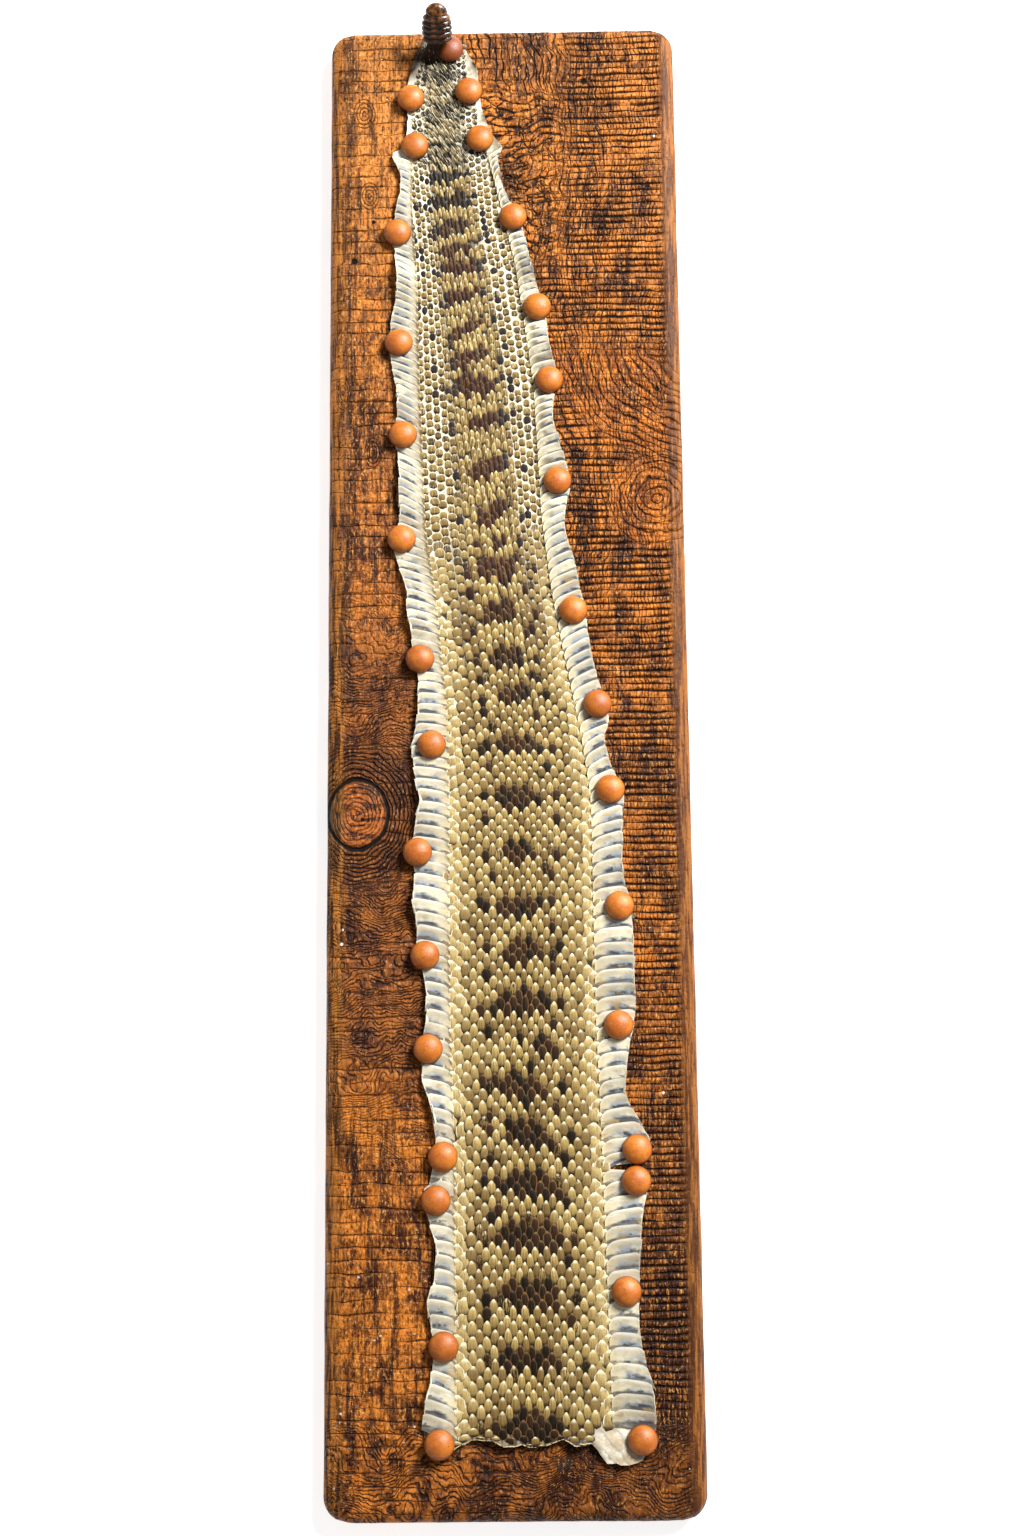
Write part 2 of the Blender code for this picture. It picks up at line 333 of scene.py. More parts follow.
# Worm holes and chips: across, along and radius in millimetres, and whether pale filler shows in them.
FLAWS = [
    (-113, -128, 2.6, 0), (-90, 512, 1.3, 1), (-86, 480, 1.2, 1), (-110, 352, 2.4, 0), (104, -254, 1.5, 1),
    (116, -501, 1.4, 1), (-117, -150, 1.8, 1), (-116, -140, 1.4, 1), (112, 447, 1.6, 1), (106, 408, 2.2, 0),
    (-96, 382, 1.6, 0), (-103, -63, 1.5, 0), (60, 492, 3.0, 0), (110, 251, 2.4, 0),
]


# %% Board zones
def board_zones(write):
    """The noise that the whole board shares, and where each kind of surface lies."""
    place = write.place()
    x, y, z = write.split(place)
    at = SimpleNamespace(x=x, y=y, z=z)
    at.broad = write.less(write.cloud(place, 85, 2), 0.5)
    at.middle = write.less(write.cloud(place, 20, 2), 0.5)
    at.fine = write.cloud((1.0, 0.45, 1.0), 1.5, 3, 0.6)
    at.fibre = write.cloud((1.0, 0.06, 1.0), 1.9, 3, 0.65)
    at.blotchy = write.cloud(place, 9, 3, 0.6)
    at.jitter = write.times(write.less(write.cloud((1.0, 0.6, 1.0), 5, 2), 0.5), 5)
    at.sawn_side = write.ramp(write.stray(at.x, at.middle, 24), 8, 24)
    upper = write.ramp(write.stray(at.y, at.middle, 60), 325, 365)
    left_of_grain = write.ramp(write.stray(at.x, at.middle, 40), 30, 60, 1.0, 0.0)
    at.plate_side = write.times(upper, left_of_grain, write.ramp(at.x, -36, -26))
    at.inside = write.ramp(at.x, 119, 114)
    at.foot = write.ramp(write.stray(at.y, at.middle, 20), -462, -484)
    at.bend_run = write.away_from(*BEND_CENTRE)
    at.eye_run = write.stray(write.away_from(*EYE_PLACE), at.middle, 14)
    at.in_bend = write.times(write.ramp(at.bend_run, 96, 112, 1.0, 0.0), write.ramp(at.bend_run, 22, 44),
                             write.ramp(at.y, 300, 268))
    at.in_eye = write.ramp(at.eye_run, 30, 40, 1.0, 0.0)
    at.eye_side = write.most(at.in_bend, at.in_eye)
    return at


# %% Saw marks
def saw_marks(write, at):
    """Saw grooves, the short blocks of grain between them, and fainter grooves on the left."""
    saw_run = write.add(at.y, write.times(at.broad, 6), write.times(at.middle, 2.6))
    at.saw = write.uneven_lines(saw_run, SAW_PITCH, 0.08, 0.34, write.cloud((0.22, 1.0, 1.0), 6, 3, 0.6))
    at.saw = write.times(at.saw, at.sawn_side, write.blend(at.eye_side, 1.0, 0.35),
                         write.ramp(at.y, -490, -440), at.inside)
    at.saw = write.times(at.saw, write.ramp(at.plate_side, 0.0, 1.0, 1.0, 0.15))
    tooth_run = write.add(write.stray(at.x, at.middle, 9), at.jitter)
    tooth_patch = write.cloud((1.0, 0.35, 1.0), 9, 3, 0.6)
    at.tooth = write.uneven_lines(tooth_run, TOOTH_PITCH, 0.02, 0.34, tooth_patch)
    at.tooth = write.times(at.tooth, at.sawn_side, at.inside, write.ramp(at.plate_side, 0.0, 1.0, 1.0, 0.3),
                           write.ramp(write.stray(at.y, at.middle, 20), -490, -462, 0.1, 1.0))
    faint_run = write.add(at.y, write.times(at.broad, 10), write.times(at.middle, 5))
    at.faint = write.uneven_lines(faint_run, 8.6, 0.02, 0.13, write.cloud((0.16, 1.0, 1.0), 6, 2))
    at.faint = write.times(at.faint, write.ramp(at.sawn_side, 0.0, 1.0, 0.7, 0.0))


# %% Growth rings
def growth_rings(write, at):
    """Rings along the board, bent below the top right and closed round the small eye."""
    grain_bend = write.times(write.math("SINE", write.add(write.times(at.y, 0.021), 1.1)), 11)
    grain_run = write.add(at.x, grain_bend, write.times(at.broad, 46), write.times(at.middle, 9))
    band = write.times(write.ramp(at.x, 8, 22), write.ramp(at.x, 66, 92, 1.0, 0.12),
                       write.ramp(at.y, 60, 120))
    at.rings = write.uneven_lines(grain_run, 5.2, 0.05, 0.24, at.blotchy)
    at.rings = write.times(at.rings, band, write.blend(at.eye_side, 1.0, 0.15), 0.9)
    bend_lines = write.add(at.bend_run, write.times(at.broad, 20), write.times(at.middle, 12))
    bends = write.times(write.uneven_lines(bend_lines, 5.6, 0.08, 0.3, at.blotchy), at.in_bend)
    at.eye = write.times(write.uneven_lines(at.eye_run, 6.0, 0.05, 0.26, at.blotchy), at.in_eye)
    at.eye = write.most(at.eye, bends)


# %% Bark plates
def bark_plates(write, at):
    """Plates like bark near the top, with wavy lines, cracks and fissures."""
    wave = write.times(write.less(write.cloud((1.0, 0.5, 1.0), 34, 2), 0.5), 34)
    wavy_run = write.add(at.y, wave, write.times(at.middle, 9))
    wavy = write.uneven_lines(wavy_run, 6.4, 0.05, 0.34, write.cloud((0.5, 1.0, 1.0), 8, 2))
    pull = write.vector(write.times(at.middle, 2.2), write.times(at.broad, 4.0))
    plate_map = {0: write.place((1 / 10.0, 1 / 8.0, 0.0)), 1: pull}
    shifted = write.node("ShaderNodeVectorMath", plate_map, operation="ADD")
    crumble = write.times(write.less(at.fine, 0.5), 0.12)
    plate_edge = write.add(write.cells(shifted, 1, "DISTANCE_TO_EDGE"), crumble)
    cracks = write.times(write.ramp(plate_edge, 0.01, 0.09, 1.0, 0.0), write.ramp(at.blotchy, 0.42, 0.54))
    fissure_run = write.add(at.x, write.times(at.middle, 14), write.times(at.broad, 20))
    fissures = write.uneven_lines(fissure_run, 5.5, 0.04, 0.24, write.cloud((1.0, 0.2, 1.0), 9, 2))
    at_top = write.ramp(write.stray(at.y, at.middle, 50), 478, 498)
    at.plates = write.times(write.blend(at_top, write.most(wavy, cracks), fissures), at.plate_side)
    at.plate_swell = write.times(write.ramp(plate_edge, 0.0, 0.35), at.plate_side)


# %% Swirls
def swirling_grain(write, at):
    """Grain that swirls on the plain side and at the foot, with hairs, specks and streaks."""
    plain_side = write.times(write.ramp(at.sawn_side, 0.0, 1.0, 1.0, 0.12),
                             write.ramp(at.plate_side, 0.0, 1.0, 1.0, 0.1))
    at.near_knot = write.ramp(write.away_from(*SWIRL_CENTRE), 110, 230, 1.0, 0.15)
    at.curly = write.most(write.ramp(at.near_knot, 0.3, 0.9), at.foot)
    flow = write.cloud((0.8, 0.7, 1.0), 44, 2, 0.5, 0.4)
    flow_run = write.add(at.y, write.times(flow, 95), write.times(at.middle, 8), at.jitter)
    at.swirl = write.uneven_lines(flow_run, SWIRL_PITCH, 0.14, 0.42, at.blotchy)
    at.swirl = write.times(at.swirl, write.most(at.near_knot, at.foot),
                           write.most(plain_side, write.times(at.foot, at.inside, 0.9)))
    at.hair = write.times(write.ramp(at.fibre, 0.55, 0.64), plain_side,
                          write.ramp(at.curly, 0.0, 1.0, 0.8, 0.1))
    speckle = write.ramp(write.cloud((1.0, 0.55, 1.0), 2.6, 2, 0.7), 0.60, 0.69)
    at.specks = write.times(write.ramp(at.curly, 0.0, 1.0, 0.7, 0.1), speckle,
                            write.ramp(at.blotchy, 0.40, 0.56))
    at.streak = write.ramp(write.cloud((1.0, 0.13, 1.0), 7, 4, 0.65), 0.5, 0.62)
    at.streak = write.times(at.streak, write.ramp(at.curly, 0.0, 1.0, 1.0, 0.25))


# %% Knots and flaws
def knots(write, at):
    """The knots, with a crack round the large one."""
    knot_run = write.stray(write.oval(at.x, at.y, *KNOT), at.middle, 0.14)
    at.knot_crack = write.ramp(write.math("ABSOLUTE", write.less(knot_run, 1.0)), 0.02, 0.095, 1.0, 0.0)
    at.in_knot = write.ramp(knot_run, 0.90, 1.0, 1.0, 0.0)
    at.outside = write.less(1.0, at.in_knot)
    at.round_knot = write.times(write.ramp(knot_run, 1.6, 2.7, 1.0, 0.0), at.outside)
    at.knot_rings = write.lines(write.stray(write.times(knot_run, 7.5), at.middle, 3), 1, 0.3)
    at.knot_rings = write.times(at.knot_rings, write.add(write.times(at.in_knot, 0.5), at.round_knot))
    for small_knot in SMALL_KNOTS:
        run = write.stray(write.oval(at.x, at.y, *small_knot), at.middle, 0.3)
        rings_here = write.lines(write.times(run, 4), 1, 0.275)
        at.knot_rings = write.most(at.knot_rings, write.times(rings_here, write.ramp(run, 1.1, 0.8), 0.75))


def flaws(write, at):
    """Worm holes and chips, some with pale filler in them."""
    ragged = write.times(write.less(at.blotchy, 0.5), 3.0)
    at.pits = 0.0
    at.pale = 0.0
    for across, along, radius, filled in FLAWS:
        away = write.add(write.away_from(across, along), ragged)
        at.pits = write.most(at.pits, write.ramp(away, radius * 0.55, radius, 1.0, 0.0))
        if filled:
            at.pale = write.most(at.pale, write.ramp(away, radius * 0.3, radius * 0.7, 1.0, 0.0))


def board_pattern(write):
    """Everything that the board's relief and its paint share, at any point of the board."""
    at = board_zones(write)
    for add_to in (saw_marks, growth_rings, bark_plates, swirling_grain, knots, flaws):
        add_to(write, at)
    at.swirl = write.times(at.swirl, write.ramp(at.round_knot, 0.0, 1.0, 1.0, 0.1))
    at.groove = write.most(
        at.saw, at.rings, write.times(at.eye, 0.9), at.plates, write.times(at.swirl, 0.85), at.faint,
        write.times(at.hair, 0.7), write.times(at.specks, 0.8),
    )
    at.groove = write.most(write.times(at.groove, at.outside), at.knot_crack, at.pits, at.knot_rings)
    return at


# %% [markdown]
# ## The stain on the board
#
# The stain pooled in every groove and dried nearly black there, while the high spots were rubbed back to
# orange. So the colour is driven by the groove depth first, then by patches, and then by painted light:
# brighter at the top left, and painted shade at the right and at the bottom. The rounded edges are ochre
# where hands wore them.


# %% Board material
def make_board_material():
    material, shader, write = new_material("stained_board")
    at = board_pattern(write)
    x, y, z = at.x, at.y, at.z

    # The rubbed wood, darker on the left, with painted light on top: brighter toward the top, and painted
    # shade in the lower right corner.
    worn = write.cloud((1.0, 0.6, 1.0), 14, 4, 0.65)
    rubbed_and_lit = write.mix(write.ramp(worn, 0.38, 0.60), paint(82, 38, 15), paint(218, 126, 42))
    # Painted light: the wood is brightened at the top left and along the top.
    lit_corner = write.times(write.ramp(y, 200, 480), write.ramp(x, -20, -80))
    rubbed_and_lit = write.mix(write.times(lit_corner, 0.62), rubbed_and_lit, paint(230, 146, 66))
    lit_top = write.times(write.ramp(y, 240, 420), write.ramp(x, -30, 0), write.ramp(worn, 0.34, 0.5))
    rubbed_and_lit = write.mix(write.times(lit_top, 0.35), rubbed_and_lit, paint(226, 140, 64))
    round_here = write.times(write.ramp(at.near_knot, 0.4, 1.0), write.ramp(x, -20, -34), 0.5)
    rubbed_and_lit = write.mix(round_here, rubbed_and_lit, paint(84, 46, 36))
    left_middle = write.times(write.hump(y, 130, 170), write.ramp(x, -20, -40), 0.24)
    rubbed_and_lit = write.mix(left_middle, rubbed_and_lit, paint(92, 54, 44))
    # Painted shade: the wood is darkened toward the lower right corner and the foot.
    shaded_corner = write.times(write.ramp(write.add(x, write.times(y, -0.5)), 150, 320),
                              write.ramp(y, -492, -468, 0.66, 0.96))
    dull_and_shaded = write.most(
        write.times(at.round_knot, 0.5), write.times(write.ramp(at.broad, 0.03, 0.16), 0.45),
        shaded_corner,
    )
    rubbed_and_lit = write.mix(dull_and_shaded, rubbed_and_lit, paint(54, 25, 13))
    stained = write.ramp(write.cloud((1.0, 0.75, 1.0), 12, 4, 0.7), 0.53, 0.66)
    rubbed_and_lit = write.mix(write.times(stained, 0.7), rubbed_and_lit, paint(58, 30, 22))
    eye_glow = write.times(at.eye_side, write.ramp(at.blotchy, 0.35, 0.6, 0.1, 0.6))
    rubbed_and_lit = write.mix(eye_glow, rubbed_and_lit, paint(204, 108, 26))

    # The heart of the knot has its own grain.
    knot_grain = write.cloud((0.35, 1.0, 1.0), 3.4, 3, 0.6, 0.6)
    knot = write.mix(write.ramp(knot_grain, 0.38, 0.58), paint(72, 34, 20), paint(190, 104, 44))
    knot_top = write.ramp(write.add(y, x), -152, -140)
    knot_top = write.times(knot_top, write.ramp(at.blotchy, 0.4, 0.5), 0.8)
    knot = write.mix(knot_top, knot, paint(66, 42, 38))
    colour = write.mix(at.in_knot, rubbed_and_lit, knot)

    # Stains, fibres and the marks of the saw.
    away = write.add(write.away_from(*BRUISE, stretch=1.4), write.times(at.middle, 6))
    bruise = write.times(write.ramp(away, 9, 4), write.ramp(at.blotchy, 0.38, 0.5, 0.5, 0.9))
    colour = write.mix(bruise, colour, paint(46, 44, 46))
    left_band = write.times(write.ramp(x, -121, -118), write.ramp(x, -107, -113), write.ramp(y, -20, 60),
                            write.ramp(at.blotchy, 0.36, 0.52, 0.35, 0.85))
    colour = write.mix(left_band, colour, paint(62, 34, 22))
    dark_streak = write.times(at.streak, write.ramp(at.sawn_side, 0, 1, 0.72, 0.6))
    dark_streak = write.times(dark_streak, write.ramp(at.in_knot, 0, 1, 1, 0.3))
    colour = write.mix(dark_streak, colour, paint(50, 25, 18))
    bright_fibre = write.times(write.ramp(at.fibre, 0.48, 0.36), write.ramp(at.curly, 0, 1, 0.4, 0.1))
    colour = write.mix(bright_fibre, colour, paint(240, 150, 62))
    grain = write.times(write.ramp(at.fine, 0.47, 0.37), write.ramp(at.curly, 0, 1, 0.7, 0.4))
    colour = write.mix(grain, colour, paint(38, 17, 9))
    sparkle = write.times(write.ramp(at.fine, 0.57, 0.66), write.ramp(at.curly, 0, 1, 0.55, 0.34))
    colour = write.mix(sparkle, colour, paint(255, 186, 102))
    in_tooth = write.times(at.tooth, write.ramp(y, -120, 120, 0.36, 0.76))
    colour = write.mix(in_tooth, colour, paint(40, 19, 14))
    colour = write.mix(at.groove, colour, paint(13, 8, 9))

    # The rounded edges, a dark seam along their rim, then pale filler and dust.
    edge_band = write.ramp(z, 21.7, 20.9)
    edge_grain = write.cloud((0.8, 0.06, 0.8), 2.0, 3, 0.65)
    hand_worn = write.mix(write.ramp(edge_grain, 0.40, 0.60), paint(84, 54, 24), paint(180, 118, 50))
    left_worn = write.times(write.ramp(write.add(x, write.times(at.middle, 4)), -115.5, -118), 0.85)
    left_worn = write.times(left_worn, write.ramp(y, 120, 70), write.ramp(y, -300, -240, 0.35, 1.0))
    colour = write.mix(left_worn, colour, hand_worn)
    edge = write.mix(write.ramp(edge_grain, 0.38, 0.60), paint(62, 34, 15), paint(192, 120, 50))
    olive = write.times(write.hump(y, -62, 58), write.ramp(x, -100, -116))
    edge = write.mix(write.times(olive, 0.7), edge, paint(64, 46, 24))
    inner_edge = write.times(write.ramp(x, 100, 110), write.ramp(x, 125.5, 121), 0.75)
    edge = write.mix(write.times(inner_edge, write.ramp(edge_grain, 0.6, 0.5)), edge, paint(58, 30, 15))
    edge = write.mix(write.ramp(x, 100, 118, 0.0, 0.45), edge, paint(96, 52, 22))
    side_of_face = write.ramp(write.math("ABSOLUTE", x), 112, 119)
    outer_band = write.times(write.most(edge_band, write.ramp(x, 114, 119)), side_of_face, 0.9)
    colour = write.mix(outer_band, colour, edge)
    seam = write.times(write.hump(z, 21.8, 0.45), side_of_face, write.ramp(edge_grain, 0.42, 0.56), 0.9)
    colour = write.mix(seam, colour, paint(24, 14, 12))
    colour = write.mix(write.times(at.knot_crack, edge_band), colour, paint(16, 10, 8))
    colour = write.mix(at.pale, colour, paint(240, 228, 210))
    dust_area = write.times(write.ramp(y, -300, -390), write.ramp(x, -40, -70))
    dust = write.times(write.ramp(write.cells(write.place((1, 1, 0)), 7.5), 0.15, 0.07), dust_area)
    dust = write.times(dust, write.ramp(at.blotchy, 0.5, 0.6))
    colour = write.mix(dust, colour, paint(232, 214, 196))

    shader.inputs["Specular IOR Level"].default_value = 0.2
    rough = write.add(write.times(at.groove, 0.3), write.times(at.fine, 0.25), 0.34)
    raised = write.add(write.times(at.fine, 0.5), write.times(at.fibre, 0.4),
                       write.times(at.plate_swell, 0.6))
    sunk = write.add(write.times(at.groove, 0.9), write.times(at.tooth, 0.45))
    finish_shader(write, shader, colour, rough, write.less(raised, sunk), 1.1 * MM)
    return material


board_material = make_board_material()
print("board material nodes:", len(board_material.node_tree.nodes))

# %% [markdown]
# ## The plank itself
#
# A cube with bevels would give the outline, but the saw marks need points close enough together to sink.
# The plank is therefore a grid of rows about a millimetre apart, with a rounded edge wrapped round it and a
# flat back. The columns are close where the wood shows and wide apart under the skin. A Geometry Nodes tree
# then sinks every point by the groove pattern above.

# %% Board mesh
EDGE_ROUND = 9 * MM
CORNER_INNER = 8 * MM
BACK_EASING = 1.5 * MM
# The old plank has swollen a little past the size it was sawn to.
BOARD_SWELL = Vector((1.0, 1.6, 0.0)) * MM
BOARD_HALF = (BOARD_HIGH - BOARD_LOW) / 2 + BOARD_SWELL
FLAT_HALF_WIDTH = BOARD_HALF.x - EDGE_ROUND
FLAT_HALF_LENGTH = BOARD_HALF.y - EDGE_ROUND
ROW_STEP = 1.07 * MM
COLUMN_STEP = 2.8 * MM
HIDDEN_STEP = 8 * MM
HIDDEN_LEFT, HIDDEN_RIGHT = -46 * MM, -28 * MM


def mesh_of(name, bm):
    """The finished mesh with all the points and faces that were built in bm."""
    mesh = bpy.data.meshes.new(name)
    bm.to_mesh(mesh)
    bm.free()
    return mesh


def fill_grid(bm, rows):
    """Faces between neighbouring rows of points."""
    for low, high in zip(rows, rows[1:]):
        for j in range(len(low) - 1):
            bm.faces.new((low[j], low[j + 1], high[j + 1], high[j]))


def spread_columns():
    """Column places across the flat face: close where wood shows, wide apart where the skin hides it."""
    columns = [-FLAT_HALF_WIDTH]
    while columns[-1] < FLAT_HALF_WIDTH - 0.5 * MM:
        here = columns[-1]
        columns.append(here + (HIDDEN_STEP if HIDDEN_LEFT < here < HIDDEN_RIGHT else COLUMN_STEP))
    squeeze = FLAT_HALF_WIDTH / columns[-1]
    return [c if c < 0 else c * squeeze for c in columns]


def make_plank_mesh():
    columns = spread_columns()
    row_count = round(2 * FLAT_HALF_LENGTH / ROW_STEP)
    bm = bmesh.new()
    rows = []
    for i in range(row_count + 1):
        y = -FLAT_HALF_LENGTH + 2 * FLAT_HALF_LENGTH * i / row_count
        into_corner = max(0.0, abs(y) - (FLAT_HALF_LENGTH - CORNER_INNER))
        half = FLAT_HALF_WIDTH - CORNER_INNER + math.sqrt(max(0.0, CORNER_INNER ** 2 - into_corner ** 2))
        share = half / FLAT_HALF_WIDTH
        rows.append([bm.verts.new((c * share, y, BOARD_HIGH.z)) for c in columns])
    fill_grid(bm, rows)

    rim = rows[0] + [row[-1] for row in rows[1:-1]] + rows[-1][::-1] + [row[0] for row in rows[-2:0:-1]]
    drops = [(EDGE_ROUND * math.sin(a), EDGE_ROUND * (1 - math.cos(a)))
             for a in (math.radians(15 * n) for n in range(1, 7))]
    drops += [(EDGE_ROUND, BOARD_HALF.z * 2 - BACK_EASING), (EDGE_ROUND - BACK_EASING, BOARD_HALF.z * 2)]
    core = Vector((FLAT_HALF_WIDTH - CORNER_INNER, FLAT_HALF_LENGTH - CORNER_INNER))
    before = rim
    for out, down in drops:
        ring = []
        for vert in rim:
            flat = vert.co.xy
            centre = Vector([max(-limit, min(limit, c)) for c, limit in zip(flat, core)])
            away = (flat - centre).normalized() * out
            ring.append(bm.verts.new((flat.x + away.x, flat.y + away.y, BOARD_HIGH.z - down)))
        for k in range(len(rim)):
            bm.faces.new((before[k - 1], ring[k - 1], ring[k], before[k]))
        before = ring

    across, up = len(columns), len(rows) - 2
    bottom, right = before[:across], before[across:across + up]
    top, left = before[across + up:2 * across + up], before[2 * across + up:][::-1]
    bm.faces.new(bottom[::-1] + [left[0], right[0]])
    for k in range(up - 1):
        bm.faces.new((left[k], left[k + 1], right[k + 1], right[k]))
    bm.faces.new([right[-1], left[-1]] + top[::-1])
    bmesh.ops.recalc_face_normals(bm, faces=bm.faces)
    return mesh_of("plank", bm)


def make_board_tree():
    tree, write, start = new_tree("saw_the_plank", {
        "Groove depth": 1.5 * MM, "Plate height": 0.9 * MM, "Tooth": 0.45 * MM, "Material": "Material",
    })
    size = start.outputs
    at = board_pattern(write)
    face = write.ramp(at.z, 17.0, 21.9)
    sink = write.add(
        write.times(at.groove, size["Groove depth"]),
        write.times(write.less(1.0, at.plate_swell), size["Plate height"], 0.5),
        write.times(at.tooth, size["Tooth"]),
    )
    edge_wear = write.times(write.less(write.cloud((1, 0.25, 1), 14, 3), 0.5), 1.4 * MM)
    edge_wear = write.times(edge_wear, write.ramp(face, 0.0, 1.0, 1.0, 0.0))
    above_back = write.ramp(at.z, 1.0, 6.0)
    sink = write.times(write.add(write.times(sink, face), edge_wear), above_back, -1.0)
    facing = write.node("GeometryNodeInputNormal", {})
    shift = write.node("ShaderNodeVectorMath", {0: facing, "Scale": sink}, operation="SCALE")
    moved = write.node("GeometryNodeSetPosition", {"Geometry": size["Geometry"], "Offset": shift})
    finish_tree(write, moved, start)
    return tree


board = grown_piece("rough_board", make_plank_mesh(), make_board_tree(), {"Material": board_material})
board.data.shade_smooth()
print("board triangles:", triangles(board))

# %% [markdown]
# ## Wooden-headed tacks
#
# Each tack is a turned dome of waxed wood on a steel pin, pushed in until the head holds the skin down. The
# dome could be a Screw modifier on a profile, copied by hand. Here one tree shapes a round ball into the
# dome, adds the pin and sets a copy at every point, with its own turn and its own tone of wood.


# %% Tack finish
def make_tack_material():
    material, shader, write = new_material("tack_wood")
    tone = write.named("tone")
    speck = write.cloud(write.place(), 1.1, 3, 0.7)
    patch = write.cloud(write.place(), 7, 2)
    wood = write.mix(write.ramp(patch, 0.3, 0.7), paint(200, 101, 12), paint(228, 130, 26))
    wood = write.mix(write.ramp(speck, 0.42, 0.30, 0.0, 0.8), wood, paint(122, 52, 6))
    wood = write.mix(write.times(write.ramp(speck, 0.58, 0.70), 0.6), wood, paint(246, 174, 80))
    # Tone varies at random from tack to tack. The tack by the rattle gets the darkest tone, as painted
    # shade.
    wood = write.mix(write.ramp(tone, -0.5, 1.0, 0.95, 0.0), wood, paint(140, 62, 2))
    _, _, z = write.split(write.place())
    # Painted shade: each head is darkened toward its lower rim, round its sides.
    wood = write.mix(write.ramp(z, 29.4, 24.8, 0.0, 0.95), wood, paint(100, 40, 2))
    steel = write.ramp(z, 23.7, 23.2)
    colour = write.mix(steel, wood, paint(150, 148, 145))
    shader.inputs["Specular IOR Level"].default_value = 0.85
    finish_shader(write, shader, colour, write.ramp(speck, 0.3, 0.7, 0.42, 0.54), speck, 0.22 * MM)
    return material


# %% Tack tree
TACK_NAMES = sorted(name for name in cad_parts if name.startswith("tack_"))
TACK_BOXES = [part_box(name) for name in TACK_NAMES]
TACK_PLACES = [Vector(((low.x + high.x) / 2, (low.y + high.y) / 2)) for low, high in TACK_BOXES]
WAX = 0.85 * MM
# The waxed finish stands a little proud of the turned head.
HEAD_RADIUS = (TACK_BOXES[0][1].x - TACK_BOXES[0][0].x) / 2 + WAX
HEAD_TOP = TACK_BOXES[0][1].z
HEAD_SEAT = 23.8 * MM
HEAD_BELLY = 0.16
PIN_POINT = TACK_BOXES[0][0].z
PIN_IN_HEAD = 0.5 * MM
# The tack beside the rattle is the darkest: painted shade where the rattle stands over it.
TAIL_TACK_SHADED_TONE = -0.5


def make_tack_tree():
    tree, write, start = new_tree("turn_the_tacks", {
        "Head radius": HEAD_RADIUS, "Head height": HEAD_TOP - HEAD_SEAT, "Pin radius": 1.1 * MM,
        "Pin length": HEAD_SEAT - PIN_POINT + PIN_IN_HEAD, "Material": "Material",
    })
    size = start.outputs
    ball = write.node("GeometryNodeMeshUVSphere", {"Segments": 28, "Rings": 16, "Radius": 1.0})
    x, y, z = write.split(write.node("GeometryNodeInputPosition", {}))
    below = write.add(HEAD_BELLY, write.times(z, HEAD_BELLY))
    above = write.add(HEAD_BELLY, write.times(z, 1 - HEAD_BELLY))
    dome = write.blend(write.math("GREATER_THAN", z, 0.0), below, above)
    shaped = write.vector(write.times(x, size["Head radius"]), write.times(y, size["Head radius"]),
                          write.times(dome, size["Head height"]))
    head = write.node("GeometryNodeSetPosition", {"Geometry": ball, "Position": shaped})
    pin = write.node("GeometryNodeMeshCylinder", {
        "Vertices": 10, "Radius": size["Pin radius"], "Depth": size["Pin length"]})
    drop = write.vector(z=write.less(PIN_IN_HEAD, write.times(size["Pin length"], 0.5)))
    pin = write.node("GeometryNodeTransform", {"Geometry": pin, "Translation": drop})
    joined = tree.nodes.new("GeometryNodeJoinGeometry")
    tree.links.new(head, joined.inputs[0])
    tree.links.new(pin, joined.inputs[0])
    finish_tree(write, copies_on_points(write, size["Geometry"], joined.outputs[0]), start)
    return tree


rng = random.Random(7)
tack_points = point_mesh("tack_points", [(p.x, p.y, HEAD_SEAT) for p in TACK_PLACES], {
    "turn": [(rng.gauss(0, 0.02), rng.gauss(0, 0.02), rng.uniform(0, 6.28)) for _ in TACK_PLACES],
    "tone": [TAIL_TACK_SHADED_TONE if name == "tack_tail" else rng.uniform(0.38, 1.0) for name in TACK_NAMES],
})
tacks = grown_piece("wooden_tacks", tack_points, make_tack_tree(), {"Material": make_tack_material()})
tacks.data.shade_smooth()
print("tacks:", len(TACK_PLACES), "triangles:", triangles(tacks))

# %% [markdown]
# ## The cut edge of the skin
#
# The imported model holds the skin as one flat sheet. Its outline is read from there, so that the cut edge
# lies exactly where the model says: the loose triangles are merged in a copy, and the longest boundary of
# the flat underside is the cut edge.


# %% Read the outline
def read_cut_edge():
    """The points of the skin's cut edge in order, seen from above."""
    bm = bmesh.new()
    bm.from_mesh(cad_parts["snake_skin"].data)
    bmesh.ops.remove_doubles(bm, verts=bm.verts, dist=0.01 * MM)
    low = min(vert.co.z for vert in bm.verts) + 0.01 * MM
    under = {face for face in bm.faces if all(vert.co.z < low for vert in face.verts)}
    follow = {}
    for edge in bm.edges:
        if len([face for face in edge.link_faces if face in under]) == 1:
            for vert, other in (edge.verts, reversed(edge.verts)):
                follow.setdefault(vert, []).append(other)
    loops = []
    while follow:
        loop = [next(iter(follow))]
        while loop:
            ahead = [vert for vert in follow.pop(loop[-1]) if vert in follow]
            if not ahead:
                break
            loop.append(ahead[0])
        loops.append([vert.co.xy.copy() for vert in loop])
    bm.free()
    return max(loops, key=len)


CUT_EDGE = read_cut_edge()
EDGE_PAIRS = list(zip(CUT_EDGE, CUT_EDGE[1:] + CUT_EDGE[:1]))
TAIL_Y = max(point.y for point in CUT_EDGE)
NECK_Y = -478 * MM
print("cut edge points:", len(CUT_EDGE), "tail end at", round(TAIL_Y, 4))


